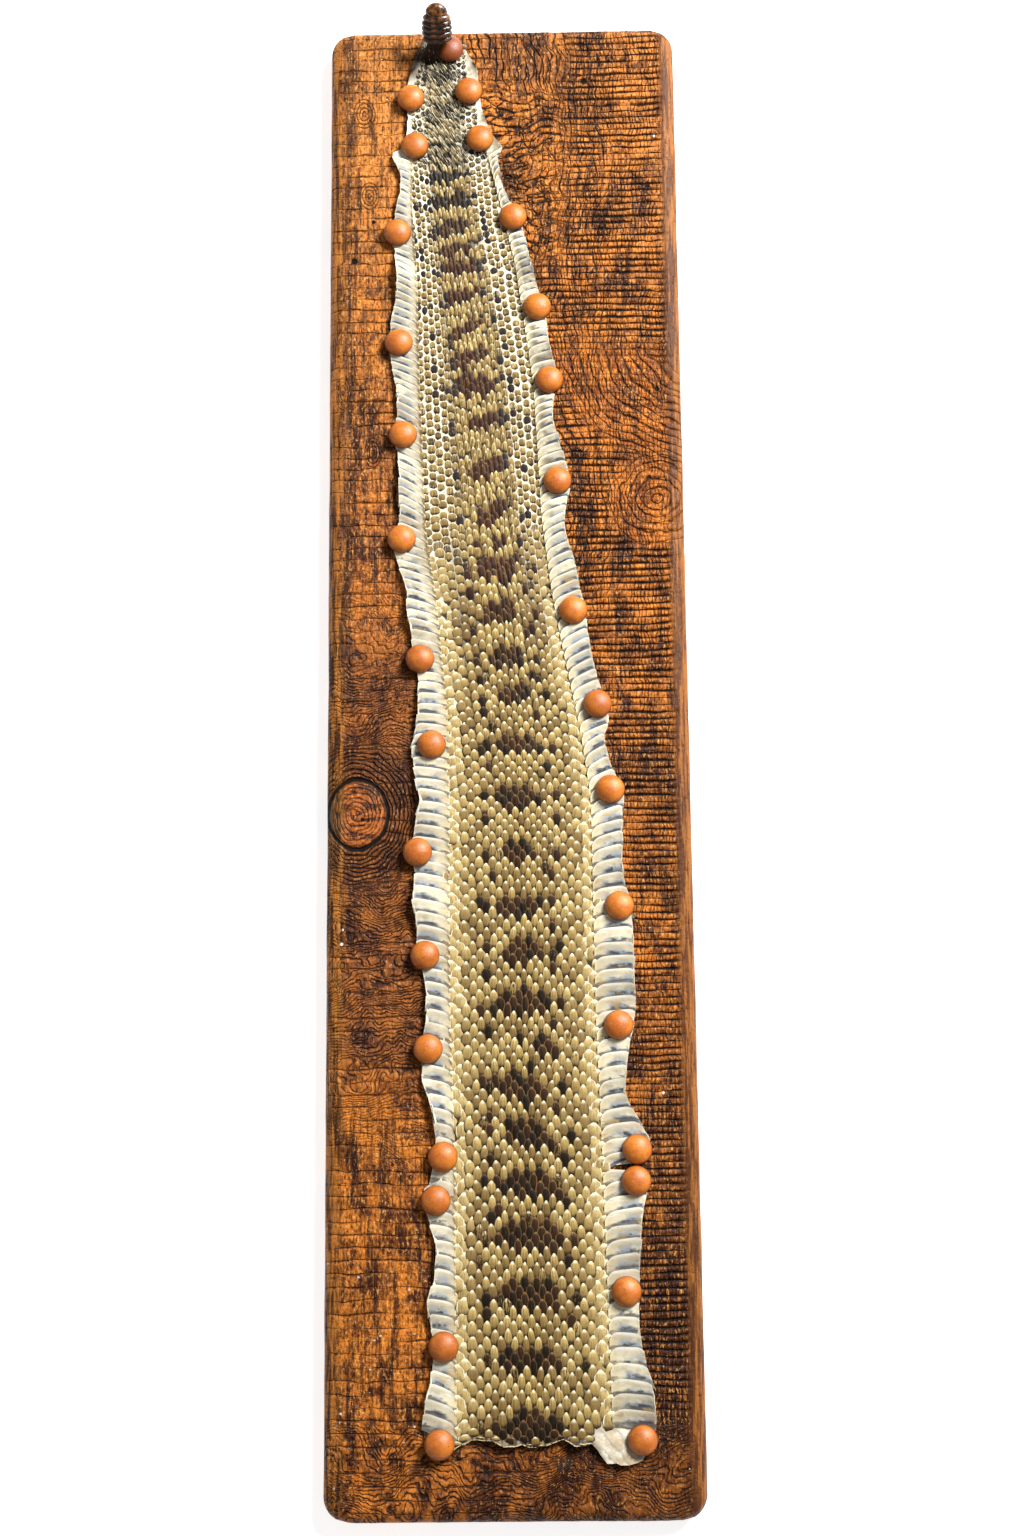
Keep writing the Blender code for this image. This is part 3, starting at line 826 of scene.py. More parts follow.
def crossings(value, axis):
    """Where the cut edge crosses a line: places along the other axis."""
    other = 1 - axis
    return [a[other] + (b[other] - a[other]) * (value - a[axis]) / (b[axis] - a[axis])
            for a, b in EDGE_PAIRS if min(a[axis], b[axis]) <= value < max(a[axis], b[axis])]


def side_edges(y):
    """The left and the right cut edge at a place along the body."""
    found = crossings(min(y, TAIL_Y - 0.2 * MM), 1)
    return min(found), max(found)


def along_body(y, *points):
    """A value that changes along the body, read between points of (place along in millimetres, value)."""
    y = y / MM
    if y >= points[0][0]:
        return points[0][1]
    for (y1, v1), (y2, v2) in zip(points, points[1:]):
        if y >= y2:
            return v2 + (v1 - v2) * (y - y2) / (y1 - y2)
    return points[-1][1]


def spine_at(y):
    """Where the middle of the back runs."""
    return MM * along_body(y, (500, -44), (440, -43), (400, -40), (350, -34), (250, -20), (150, -9),
                           (50, 2), (-50, 9), (-300, 10), (-480, 14))


def belly_line(y, side):
    """Where the broad belly scutes meet the back scales, on the left (-1) or the right (1)."""
    if side < 0:
        return MM * along_body(y, (515, -60), (492, -67), (470, -69), (452, -68), (436, -66), (400, -67),
                               (340, -63), (250, -61), (150, -57), (100, -50), (0, -41), (-200, -41),
                               (-300, -38), (-480, -38))
    return MM * along_body(y, (500, -27), (440, -14), (400, -5), (340, 8), (250, 20), (150, 25), (100, 31),
                           (50, 40), (0, 50), (-50, 57), (-200, 58), (-300, 61), (-480, 65))


def row_pitch(y):
    """Length of skin that one row of scales takes up: short at the tail, long at the neck."""
    return MM * along_body(y, (520, 4.2), (440, 5.2), (300, 6.0), (40, 7.4), (-150, 9.5), (-485, 9.9))


def near_tack(x, y):
    """Distance to the nearest tack, seen from above."""
    return min(math.hypot(x - p.x, y - p.y) for p in TACK_PLACES)


# %% [markdown]
# ## How the dried skin lies
#
# Rawhide shrinks as it dries. Between the tacks the edge curls up off the wood, at each tack it is held
# down, and the middle lies in low swells. A cloth simulation could settle it, but that is slow and hard to
# steer. So one function gives the height, and the sheet, the scales and the scutes all use it, so that
# nothing floats and nothing sinks in.

# %% Height of the skin
SKIN_FLOOR = 22.5 * MM
SHEET_THICKNESS = 0.45 * MM
SWELL_HEIGHT = 0.9 * MM
CURL_HEIGHT = 5.2 * MM
CURL_REACH = 4.5 * MM
NECK_CURL_HEIGHT = 3.0 * MM
NECK_CURL_REACH = 7 * MM
# How far from a tack's pin the skin stays down, and how gradually it comes free beyond that.
TACK_HOLD = 8 * MM
TACK_LET_GO = 13 * MM


def skin_height(x, y):
    """Height of the sheet's upper face."""
    swell = 0.5 + 0.5 * noise.noise(Vector((x * 22, y * 13, 1.7)))
    left, right = side_edges(max(y, -480 * MM))
    inward = max(0.0, min(x - left, right - x))
    ragged = 0.75 + 0.9 * noise.noise(Vector((x * 3, y * 45, 4.0)))
    free = 1 - math.exp(-(max(0.0, near_tack(x, y) - TACK_HOLD) / TACK_LET_GO) ** 2)
    curl = math.exp(-inward / CURL_REACH) * CURL_HEIGHT * max(0.15, ragged)
    torn = 0.8 + noise.noise(Vector((x * 40, 0, 9)))
    neck = math.exp(-max(0.0, y + 484 * MM) / NECK_CURL_REACH) * NECK_CURL_HEIGHT * torn
    return SKIN_FLOOR + SHEET_THICKNESS + free * (SWELL_HEIGHT * swell + max(curl, neck))


print("skin height in the middle:", round(skin_height(0, 0), 5))

# %% [markdown]
# ## The sheet under the scales
#
# The skin itself is a thin sheet that shows pale between the flank scales, at the torn neck and along the
# cut. A flat curve would be quick, but it has no points inside to lift. So the sheet is built in rows from
# one cut edge to the other, the last rows slide down to the torn neck, and one row of faces is left out
# where the skin has split at the right. Solidify then gives it its thickness.

# %% Sheet mesh
SHEET_ROW = 2.4 * MM
SHEET_COLUMNS = 54
NECK_ROWS = 8
# The split at the right: its place along the body, its inner tip, and how far from it the rows give way.
SPLIT_Y = -304.5 * MM
SPLIT_TIP_X = 66 * MM
SPLIT_REACH = 14 * MM
# The folded flap at the lower right corner: its middle, its reach, where it starts and its folds' height.
FLAP_PLACE = Vector((72, -487)) * MM
FLAP_REACH = 24 * MM
FLAP_TOP = -477 * MM
FOLD_HEIGHT = 3.0 * MM


def torn_edge(x):
    """Where the neck was torn off, at a place across the skin."""
    return min(crossings(x, 0), default=NECK_Y)


def sheet_row_places():
    """Places of the sheet's straight rows along the body, from the tail to the neck."""
    steps = round((TAIL_Y - NECK_Y) / SHEET_ROW)
    return [TAIL_Y - 0.2 * MM + (NECK_Y - TAIL_Y) * i / steps for i in range(steps + 1)]


def raggedness(x, y, seed):
    """Smooth noise between about -1 and 1, for the frayed and torn edges."""
    return noise.noise(Vector((x, y, seed)))


def sheet_column_shares():
    """Places of the sheet's columns from 0 to 1, closer together toward both edges."""
    turns = [math.pi * (0.06 + 0.88 * j / SHEET_COLUMNS) for j in range(SHEET_COLUMNS + 1)]
    shares = [0.5 - 0.5 * math.cos(turn) for turn in turns]
    return [(share - shares[0]) / (shares[-1] - shares[0]) for share in shares]


def make_sheet_mesh():
    bm = bmesh.new()
    rows = []
    shares = sheet_column_shares()
    belly = bm.verts.layers.float.new("belly")
    torn = bm.verts.layers.float.new("torn")
    places = [(y, 0.0) for y in sheet_row_places()]
    places += [(NECK_Y, step / NECK_ROWS) for step in range(1, NECK_ROWS + 1)]
    for y, to_neck in places:
        left, right = side_edges(y)
        row = []
        for share in shares:
            x = left + (right - left) * share
            here = y + (min(torn_edge(x), y - 0.4 * MM) - y) * to_neck
            tear = (1.3 * raggedness(x * 160, 3, 5) + 1.1 * raggedness(x * 480, 7, 5)) * MM * to_neck ** 2
            fray = 0.5 * MM * raggedness(share, here * 400, 8) * abs(2 * share - 1) ** 6
            past_split = here - SPLIT_Y
            pull = max(0.0, x - SPLIT_TIP_X) * 0.11 * math.exp(-abs(past_split) / (5 * MM))
            opened = here + math.copysign(pull, past_split) * (abs(past_split) < SPLIT_REACH)
            near_flap = max(0.0, 1 - math.hypot(x - FLAP_PLACE.x, here - FLAP_PLACE.y) / FLAP_REACH)
            near_flap *= max(0.0, min(1.0, (FLAP_TOP - here) / (6 * MM)))
            fold = FOLD_HEIGHT * near_flap * math.sin((x * 0.9 + here * 0.6) / (2.1 * MM))
            row.append(bm.verts.new((x + fray, opened + tear, skin_height(x, here) + abs(fold))))
            side = -1 if x < spine_at(y) else 1
            row[-1][belly] = (x - spine_at(y)) / (belly_line(y, side) - spine_at(y))
            row[-1][torn] = to_neck
        rows.append(row)
    for (y1, _), (y2, _), upper, lower in zip(places, places[1:], rows, rows[1:]):
        for j in range(SHEET_COLUMNS):
            if y1 >= SPLIT_Y > y2 and upper[j].co.x > SPLIT_TIP_X:
                continue
            bm.faces.new((lower[j], lower[j + 1], upper[j + 1], upper[j]))
    return mesh_of("dried_sheet", bm)


print("sheet rows:", len(sheet_row_places()), "of", SHEET_COLUMNS, "faces")

# %% [markdown]
# ## The closed end of the tail
#
# The cut stops short of the rattle, so the last of the tail is still a tube. It leans up off the board and
# carries the rattle clear of it. A tube lofted between two rings is enough, because scales cover it.

# %% Tail tube
RATTLE_BASE = Vector((-47.5, 518.0, 38.5)) * MM
RATTLE_RISE = math.radians(50)
RATTLE_AXIS = Vector((0, math.cos(RATTLE_RISE), math.sin(RATTLE_RISE)))
TAIL_FOOT = Vector((-55.0, 507.0, 23.5)) * MM
TAIL_RINGS = 15
TAIL_SIDES = 28


def tail_point(run, angle, proud=0.0):
    """A point on the tail tube: run goes from 0 at the sheet to 1 at the rattle, angle 0 is straight up."""
    bend = RATTLE_BASE - RATTLE_AXIS * 9 * MM - Vector((5.5, 0, 0)) * MM
    top = RATTLE_BASE - RATTLE_AXIS * 1.2 * MM
    centre = TAIL_FOOT.lerp(bend, run).lerp(bend.lerp(top, run), run)
    axis = ((bend - TAIL_FOOT) * (1 - run) + (top - bend) * run).normalized()
    across = Vector((1, 0, 0))
    up = across.cross(axis).normalized()
    swell = min(1.0, 2.5 * run)
    wide = (4.4 + 0.3 * swell + 0.5 * run) * MM + proud
    tall = (0.7 + 1.7 * swell + 2.2 * run) * MM + proud
    return centre + across * math.sin(angle) * wide + up * math.cos(angle) * tall, up, across, axis


def add_tail_tube(mesh):
    bm = bmesh.new()
    bm.from_mesh(mesh)
    rings = []
    for i in range(TAIL_RINGS + 1):
        angles = [2 * math.pi * k / TAIL_SIDES for k in range(TAIL_SIDES)]
        rings.append([bm.verts.new(tail_point(i / TAIL_RINGS, a)[0]) for a in angles])
    for low, high in zip(rings, rings[1:]):
        for k in range(TAIL_SIDES):
            bm.faces.new((low[k - 1], high[k - 1], high[k], low[k]))
    bm.faces.new(rings[0])
    bm.faces.new(rings[-1][::-1])
    bm.to_mesh(mesh)
    bm.free()


# %% [markdown]
# ## Where the snake was dark
#
# A rattlesnake's back carries dark blotches that begin as short bars near the tail and open into arches
# toward the neck, and its last rings are black. Each scale takes one shade, so the pattern is decided scale
# by scale: a list says where each blotch lies, and every scale asks how deep inside one it is. Neighbours
# drop out at random along the rims, as they do on the animal.

# %% Blotches
# For each blotch, in millimetres: its middle along the body, left end, right end, how much higher the right
# end lies, thickness, and how far the middle bows toward the tail.
BLOTCHES = [
    (500, -62, -24, 2, 17, 0), (466, -61, -20, 4, 13, 0), (431, -62, -8, 2, 9, 0),
    (416, -62, -25, 5, 5, 0), (396, -65, -19, 8, 8, 0), (375, -59, -25, 10, 7, 0),
    (360, -53, -11, 11, 6, 0), (344, -53, -15, 3, 8, 0), (321, -52, -15, 11, 8, 0),
    (296, -43, -13, 15, 7, 1), (275, -42, -10, 10, 8, 0), (253, -41, -5, 4, 10, 2),
    (227, -29, 8, 8, 9, 0), (192, -27, 4, 11, 10, 0), (158, -24, 5, 14, 10, 1),
    (136, -11, 0, 2, 6, 0), (116, -20, 9, 3, 11, 2), (84, -17, 9, 3, 12, 2),
    (52, -14, 12, 5, 12, 2), (24, -9, 15, 10, 11, 3), (-13, -8, 22, -3, 12, 8),
    (-50, -8, 24, -1, 14, 4), (-89, -8, 22, 2, 13, 7), (-126, -9, 22, 0, 14, 6),
    (-158, -9, 22, 1, 13, 4), (-194, -13, 26, 5, 14, 7), (-222, 16, 30, -9, 10, 1),
    (-251, -12, 28, -11, 14, 5), (-283, -7, 32, -10, 15, 5), (-316, -9, 32, -2, 17, 8),
    (-350, -13, 32, -1, 16, 9), (-388, -12, 34, 1, 18, 8), (-433, -12, 35, -2, 15, 9),
    (-475, -12, 34, 0, 16, 10),
]
# Beyond this distance along the body a blotch has no part in a scale's shade.
BLOTCH_REACH = 34
SPOT_RADIUS = 4.6


def depth_in_blotch(x, y, blotch):
    """How deep a place lies in a blotch: 1 at its heart, 0 at its rim, less than 0 outside."""
    middle, left, right, climb, thick, bow = blotch
    across = (2 * x - left - right) / (right - left)
    centre = middle + 0.5 * climb * max(-1.2, min(1.2, across))
    centre += 0.4 * bow * (0.7 - min(1.4, across ** 2))
    half = thick / 2 + (1.5 if middle < 60 else 1.8)
    up = (y - centre) / half
    return 1 - (abs(across) ** 2.3 + abs(up) ** 2.3) ** (1 / 2.3)


def spots_of(blotch):
    """The small dark spots on either side of a blotch: two near it, and for blotches below 140 mm along also
    two in the gap below.
    """
    middle, left, right, climb, _, _ = blotch
    stray = [4 * noise.noise(Vector((middle * 0.37, k * 3.1, 0))) for k in range(8)]
    spots = [(left - 9, middle - climb / 2), (right + 10, middle)]
    if middle < 140:
        spots += [(left - 5, middle - 15), (right + 6, middle - 14)]
    return [(x + stray[2 * k], y + stray[2 * k + 1]) for k, (x, y) in enumerate(spots)]


SIDE_SPOTS = [spot for blotch in BLOTCHES[5:] for spot in spots_of(blotch)]
# A few more spots stand by themselves.
SIDE_SPOTS += [
    (20, 7), (31, 7), (-12, 5), (-17, -10), (-15, 384), (-62, 358), (46, -410), (42, -228), (-12, 348),
    (-7, 327), (-6, 305), (0, 284), (1, 259),
]
print("blotches:", len(BLOTCHES), "side spots:", len(SIDE_SPOTS))


def darkness(x, y, rng):
    """How dark the scale at a place is, from 0 to 1."""
    x, y = x / MM, y / MM
    ragged = rng.uniform(-0.14, 0.12) + 0.2 * noise.noise(Vector((x * 0.16, y * 0.16, 2)))
    near = [blotch for blotch in BLOTCHES if abs(blotch[0] - y) < BLOTCH_REACH]
    deepest = max((depth_in_blotch(x, y, blotch) for blotch in near), default=-1)
    nearest = min(math.hypot(x - spot_x, y - spot_y) for spot_x, spot_y in SIDE_SPOTS)
    in_blotch = min(1.0, max(0.0, (deepest + ragged) * 5 + 0.5))
    if y > 425:
        in_blotch *= rng.uniform(0.4, 0.85)
    in_spot = min(0.95, max(0.0, (1 - nearest / SPOT_RADIUS + 1.2 * ragged) * 2.4))
    return max(in_blotch, in_spot)


# %% [markdown]
# ## One closed leaf for every scale and scute
#
# Scales and scutes are both thin leaves that lie over the next one like roof tiles. So both start from the
# same flat, closed leaf, a top and an underside joined round the rim, which remembers how far across and
# how far along each of its points lies. The trees below bend that leaf into shape.


# %% Leaf
def make_leaf(name, columns, rows):
    """A closed unit leaf that stores across (-1 to 1), along (0 to 1) and under (1 on the underside)."""
    bm = bmesh.new()
    layers = {key: bm.verts.layers.float.new(key) for key in ("across", "along", "under")}

    def add_point(j, i, under):
        values = {"across": 2 * j / columns - 1, "along": i / rows, "under": under}
        vert = bm.verts.new((values["across"], values["along"], -under))
        for key, layer in layers.items():
            vert[layer] = values[key]
        return vert

    grid = [[add_point(j, i, 0.0) for j in range(columns + 1)] for i in range(rows + 1)]
    fill_grid(bm, grid)
    rim = [(j, 0) for j in range(columns)] + [(columns, i) for i in range(rows)]
    rim += [(j, rows) for j in range(columns, 0, -1)] + [(0, i) for i in range(rows, 0, -1)]
    top = [grid[i][j] for j, i in rim]
    bottom = [add_point(j, i, 1.0) for j, i in rim]
    for k in range(len(rim)):
        bm.faces.new((top[k - 1], bottom[k - 1], bottom[k], top[k]))
    bm.faces.new(bottom[::-1])
    return put_in_scene(name, mesh_of(name, bm))


# %% [markdown]
# ## Back scales
#
# The back has about 23 rows of narrow keeled scales at the neck and fewer toward the tail. They sit in a
# diamond pattern: each row is set half a scale on from its neighbours. Near the belly they grow round and
# plump, and toward the tail the skin is stretched, so they stand apart with pale net between them.
#
# The tree shapes one scale from the leaf: pointed at the hidden base, rounded at the raised tip, arched
# across and with a keel. A copy goes on each point with its own size, turn and colour numbers.


# %% Scale tree
def make_scale_tree():
    tree, write, start = new_tree("overlap_the_scales", {
        "Leaf": "Object", "Tip lift": 1.0, "Arch": 0.55, "Keel": 0.35, "Thickness": 0.22,
        "Roughness": 0.22 * MM, "Material": "Material",
    })
    size = start.outputs
    leaf = write.node("GeometryNodeObjectInfo", {"Object": size["Leaf"]}, output="Geometry")
    across, along, under = (write.named(name) for name in ("across", "along", "under"))
    past_middle = write.most(write.times(write.less(along, 0.55), 1 / 0.46), 0.0)
    tip_round = write.most(write.less(1.0, write.math("POWER", past_middle, 2.6)), 0.02)
    wide = write.times(write.math("POWER", tip_round, 0.6), write.ramp(along, -0.22, 0.52))
    arch = write.less(1.0, write.math("POWER", write.math("ABSOLUTE", across), 2.0))
    keel_length = write.times(write.ramp(along, 0.1, 0.4), write.ramp(along, 1.0, 0.75))
    keel = write.times(write.hump(across, 0.0, 0.42), keel_length)
    tip_roll = write.times(write.ramp(along, 0.82, 1.0), -0.32)
    z = write.add(
        write.times(write.math("POWER", along, 1.3), size["Tip lift"]),
        write.times(arch, wide, size["Arch"]),
        write.times(keel, size["Keel"]), write.times(tip_roll, size["Tip lift"]),
        write.times(under, size["Thickness"], -1.0),
        write.times(under, arch, wide, size["Arch"], -0.6),
    )
    shaped = write.vector(write.times(across, wide, 0.5), write.less(along, 0.5), write.times(z, MM))
    one = write.node("GeometryNodeSetPosition", {"Geometry": leaf, "Position": shaped})
    copies = copies_on_points(write, size["Geometry"], one, Scale=write.named_vector("size"))
    real = write.node("GeometryNodeRealizeInstances", {"Geometry": copies})
    sideways = write.less(write.cloud(write.place(), 5.0, 1), 0.5)
    upward = write.less(write.cloud(write.place(), 3.0, 2), 0.5)
    offset = write.vector(write.times(sideways, size["Roughness"], 2.0), 0.0,
                          write.times(upward, size["Roughness"], 3.0))
    worn = write.node("GeometryNodeSetPosition", {"Geometry": real, "Offset": offset})
    finish_tree(write, worn, start)
    return tree


# %% Scale places
MOST_COLUMNS = 11
# Shares of the way from the spine to the belly where the flank begins and where the last scale may lie.
FLANK_FROM = 0.52
LAST_SCALE = 1.03
TAIL_FROM = 425 * MM
SHORTEST_SCALE = 1.6 * MM
# The corner at the lower right that the folded flap leaves bare.
BARE_LEFT, BARE_TOP = 50 * MM, -474 * MM


def half_count(y):
    """Scale columns on each side of the spine."""
    return along_body(y, (500, 5.4), (440, 7.0), (380, 9.0), (60, 9.0), (-60, 11.0))


def column_place(y, column):
    """Where a column of scales runs at a place along the body: across, and how far toward the belly."""
    share = abs(column) / half_count(y)
    side = -1 if column < 0 else 1
    widen = along_body(y, (100, 0.26), (-60, 0.16))
    spine = spine_at(y)
    return spine + (belly_line(y, side) - spine) * (share * (1 - widen) + widen * share ** 2), share


def row_skew(y):
    """How steeply a row of scales climbs to the right."""
    return along_body(y, (420, 0.06), (380, 0.14), (180, 0.12), (60, 0.02), (-50, 0.0))


def row_places():
    """Places of the scale rows along the body, from the tail to the neck."""
    y = TAIL_Y - 3 * MM
    while y > -500 * MM:
        yield y
        y -= row_pitch(y)


ROWS = list(row_places())
print("scale rows:", len(ROWS))


def scale_points():
    """For each scale: its place, turn, size and colour numbers, sorted into tail, back and flank."""
    rng = random.Random(11)
    groups = {"tail": [], "back": [], "flank": []}
    for y in ROWS:
        pitch = row_pitch(y)
        for column in range(-MOST_COLUMNS, MOST_COLUMNS + 1):
            x, toward_belly = column_place(y, column)
            if toward_belly > LAST_SCALE:
                continue
            here = y - (column % 2) * pitch / 2 + row_skew(y) * (x - spine_at(y))
            next_x = column_place(y, column + (1 if column >= 0 else -1))[0]
            ahead_x = column_place(y + 6 * MM, column)[0]
            netted = along_body(y, (420, 1.0), (150, 0.8), (20, 0.15), (-60, 0.0))
            net = netted * min(1.0, max(0.0, (toward_belly - 0.34) / 0.3))
            plump = max(0.0, min(1.0, (toward_belly - 0.8) / 0.1))
            plump *= along_body(y, (170, 0.0), (80, 1.0))
            slim = along_body(y, (430, 0.4), (60, 0.2), (-20, 0.0)) * (1 - net)
            wide = abs(next_x - x) * (1.48 - 0.42 * net - slim + 0.56 * plump) * rng.uniform(0.86, 1.12)
            long = pitch * (1.52 - 0.43 * net + 1.5 * slim + 0.3 * plump) * rng.uniform(0.92, 1.08)
            here += rng.gauss(0, 0.3 + 3.4 * slim) * MM
            torn_at = torn_edge(x) + rng.uniform(-0.4, 0.5) * MM
            tip = here + long / 2
            if tip - torn_at < SHORTEST_SCALE or (x > BARE_LEFT and here < BARE_TOP):
                continue
            long = min(long, tip - torn_at)
            here = tip - long / 2
            lean = along_body(y, (520, 0.55), (450, 0.5), (395, 0.0)) * (1 - 0.5 * toward_belly)
            turn = (rng.gauss(0.02, 0.02), rng.gauss(0, 0.04), lean + rng.gauss(0, 0.075)
                    - math.atan2(ahead_x - x, 6 * MM))
            drift = 0.8 * MM * noise.noise(Vector((x * 60, here * 60, 3.0)))
            place = (x + drift, here + rng.gauss(0, 0.25) * MM, skin_height(x, here) - 0.05 * MM)
            group = "tail" if y > TAIL_FROM else "back" if toward_belly < FLANK_FROM else "flank"
            groups[group].append({
                "place": place, "turn": turn, "size": (wide, long, 0.95 - 0.5 * net - 0.52 * plump),
                "tone": rng.random(), "mark": darkness(x, here + 0.15 * long, rng),
                "belly": toward_belly, "net": net,
            })
    return groups


# %% [markdown]
# ## The colour of a scale
#
# A real scale is not one colour: a darker line runs beside the keel, and fine streaks run along it. Light is
# painted in as well: each scale darkens toward its base and along its sides as painted shade and shadow, and
# its raised tip is pale, partly its own colour and partly a painted highlight. Those follow the scale and
# not the board, so the material reads the numbers stored on the leaf: how far along and across, and the
# shade chosen for that scale.


# %% Scale material
def make_scale_material():
    material, shader, write = new_material("back_scales")
    across, along, tone, mark, belly, net = (
        write.named(name) for name in ("across", "along", "tone", "mark", "belly", "net"))
    x, y, _ = write.split(write.place())
    at_tail = write.ramp(y, 405, 440)
    speck = write.cloud(write.place(), 1.3, 3, 0.65)
    lean = write.times(write.most(write.less(y, 425), 0.0), 0.62)
    streak_across = write.times(write.add(x, lean), write.ramp(y, 40, 160, 1.6, 2.0))
    streak = write.cloud(write.vector(streak_across, write.times(y, 0.18)), 1.4, 2, 0.6)
    patch = write.cloud(write.place(), 26, 3, 0.6)
    tailward = write.ramp(y, -20, 230)
    near_spine = write.ramp(belly, 0.42, 0.05)

    # The pale ground, duller in the net between the flank scales and yellower along the spine.
    ground = write.mix(tailward, paint(220, 190, 119), paint(210, 179, 104))
    ground = write.mix(write.ramp(patch, 0.35, 0.7, 0.0, 0.5), ground, paint(176, 142, 78))
    spine_glow = write.times(near_spine, write.ramp(y, 330, 60, 0.15, 0.5))
    ground = write.mix(spine_glow, ground, paint(212, 180, 98))
    ground = write.mix(write.times(net, 0.7), ground, paint(112, 88, 50))
    ground = write.mix(write.ramp(tone, 0.0, 0.8, 0.8, 0.0), ground, paint(128, 99, 54))
    blue_dot = write.times(write.ramp(net, 0.3, 0.8), write.ramp(tone, 0.3, 0.16),
                           write.ramp(patch, 0.4, 0.55))
    ground = write.mix(write.times(blue_dot, 0.85), ground, paint(44, 48, 52))
    plump = write.times(write.ramp(belly, 0.80, 0.89), write.ramp(y, 170, 60))
    ground = write.mix(write.times(plump, 0.85), ground, paint(216, 190, 128))
    # Painted shade: the lower side of each plump flank scale is darkened.
    shaded_lower_side = write.ramp(write.add(along, write.times(across, 0.25)), 0.85, 0.45)
    ground = write.mix(write.times(plump, shaded_lower_side, 0.7), ground, paint(150, 120, 70))

    # Lines beside the keel, painted shade down the body, streaks, a painted shadow along the rim and a pale
    # tip that is partly a painted highlight.
    edge = write.math("ABSOLUTE", across)
    keel_shade = write.times(write.hump(edge, 0.34, 0.24), write.ramp(belly, 0.75, 0.4), 0.35)
    colour = write.mix(keel_shade, ground, paint(98, 76, 40))
    # Painted shade: each scale darkens from its tip toward its base.
    body_painted_shade = write.times(write.ramp(along, 0.92, 0.5), write.less(1.0, plump), 0.52)
    colour = write.mix(body_painted_shade, colour, paint(112, 84, 44))
    fine_streak = write.times(write.ramp(streak, 0.5, 0.6), write.ramp(y, 200, 60, 0.0, 0.35))
    colour = write.mix(fine_streak, colour, paint(96, 76, 44))
    long_streak = write.times(write.ramp(y, 60, 200), write.ramp(belly, 0.8, 0.5),
                              write.ramp(streak, 0.52, 0.6), 0.75)
    colour = write.mix(long_streak, colour, paint(84, 58, 28))
    light_streak = write.times(write.ramp(y, 60, 200), write.ramp(streak, 0.47, 0.38), 0.55)
    colour = write.mix(light_streak, colour, paint(236, 212, 150))
    colour = write.mix(write.times(at_tail, 0.42), colour, paint(92, 82, 58))
    tail_light = write.times(at_tail, write.ramp(streak, 0.5, 0.42), 0.68)
    colour = write.mix(tail_light, colour, paint(218, 206, 170))
    salt = write.times(at_tail, write.ramp(streak, 0.52, 0.58))
    colour = write.mix(write.times(salt, 0.92), colour, paint(34, 32, 32))
    # Painted shadow along the sides of each scale, in the gaps between neighbours.
    rim_painted_shadow = write.times(write.ramp(edge, 0.66, 0.95), write.ramp(along, 0.97, 0.76),
                           write.less(1.0, write.times(plump, 0.8)), write.ramp(y, 60, 200, 1.0, 0.7))
    rim_painted_shadow = write.times(rim_painted_shadow, write.less(1.0, write.times(net, 0.8)), 0.95)
    colour = write.mix(rim_painted_shadow, colour, paint(38, 26, 13))
    # Painted highlight: the raised tips, and the upper rims of the plump flank scales, are painted pale,
    # partly their own colour. The pale net rims are the skin's own colour.
    tip = write.times(write.ramp(along, 0.80, 0.97), write.ramp(edge, 1.0, 0.35),
                      write.ramp(y, 60, 200, 0.97, 0.75))
    side_rim = write.times(write.ramp(edge, 0.78, 0.92), write.ramp(along, 0.3, 0.6), 0.8)
    white_rim_and_highlight = write.times(plump, write.most(write.ramp(along, 0.84, 0.94), side_rim))
    net_rim = write.most(write.ramp(edge, 0.80, 0.95), write.ramp(along, 0.88, 0.97))
    net_rim = write.times(net_rim, write.ramp(net, 0.3, 0.9), 0.9)
    pale = write.most(write.times(tip, write.ramp(net, 0.0, 1.0, 1.0, 0.3)), white_rim_and_highlight, net_rim)
    colour = write.mix(pale, colour, paint(255, 246, 210))

    # The shade of a dark scale, and how much of the scale it covers.
    shade = write.mix(write.ramp(tone, 0.2, 0.9), paint(13, 6, 3), paint(44, 21, 9))
    reddish = write.times(write.ramp(y, 40, 120), write.ramp(y, 420, 380), 0.75)
    shade = write.mix(reddish, shade, paint(58, 25, 13))
    blue_black = write.times(write.ramp(y, 90, 150), write.ramp(belly, 0.3, 0.44), 0.85)
    shade = write.mix(blue_black, shade, paint(24, 29, 36))
    shade = write.mix(write.ramp(y, 330, 430, 0.0, 0.8), shade, paint(15, 15, 16))
    # Painted shadow: scales next to the rattle turn dark red-brown, as in the rattle's shadow.
    shade = write.mix(write.ramp(y, 503, 511, 0.0, 0.85), shade, paint(46, 19, 10))
    dark_rim = write.most(write.ramp(edge, 0.68, 0.9), write.ramp(along, 0.86, 0.96))
    dark_rim = write.times(dark_rim, write.ramp(y, 420, 330), write.ramp(tone, 0.1, 0.8, 0.25, 0.75))
    shade = write.mix(dark_rim, shade, paint(146, 106, 62))
    by_streak = write.times(write.less(streak, 0.5), write.ramp(y, 370, 440, 0.75, 2.4))
    by_speck = write.times(write.less(speck, 0.5), 0.4)
    dark = write.ramp(write.add(mark, by_streak, by_speck), 0.40, 0.60)
    colour = write.mix(write.times(dark, 0.97), colour, shade)
    fleck = write.times(write.ramp(speck, 0.44, 0.34), 0.35)
    colour = write.mix(fleck, colour, paint(88, 68, 38))
    # Painted shadow: the base of each scale is darkened almost black where the scale before it lies over it.
    base_painted_shadow = write.times(write.ramp(along, 0.52, 0.3), 0.9)
    colour = write.mix(base_painted_shadow, colour, paint(25, 16, 8))
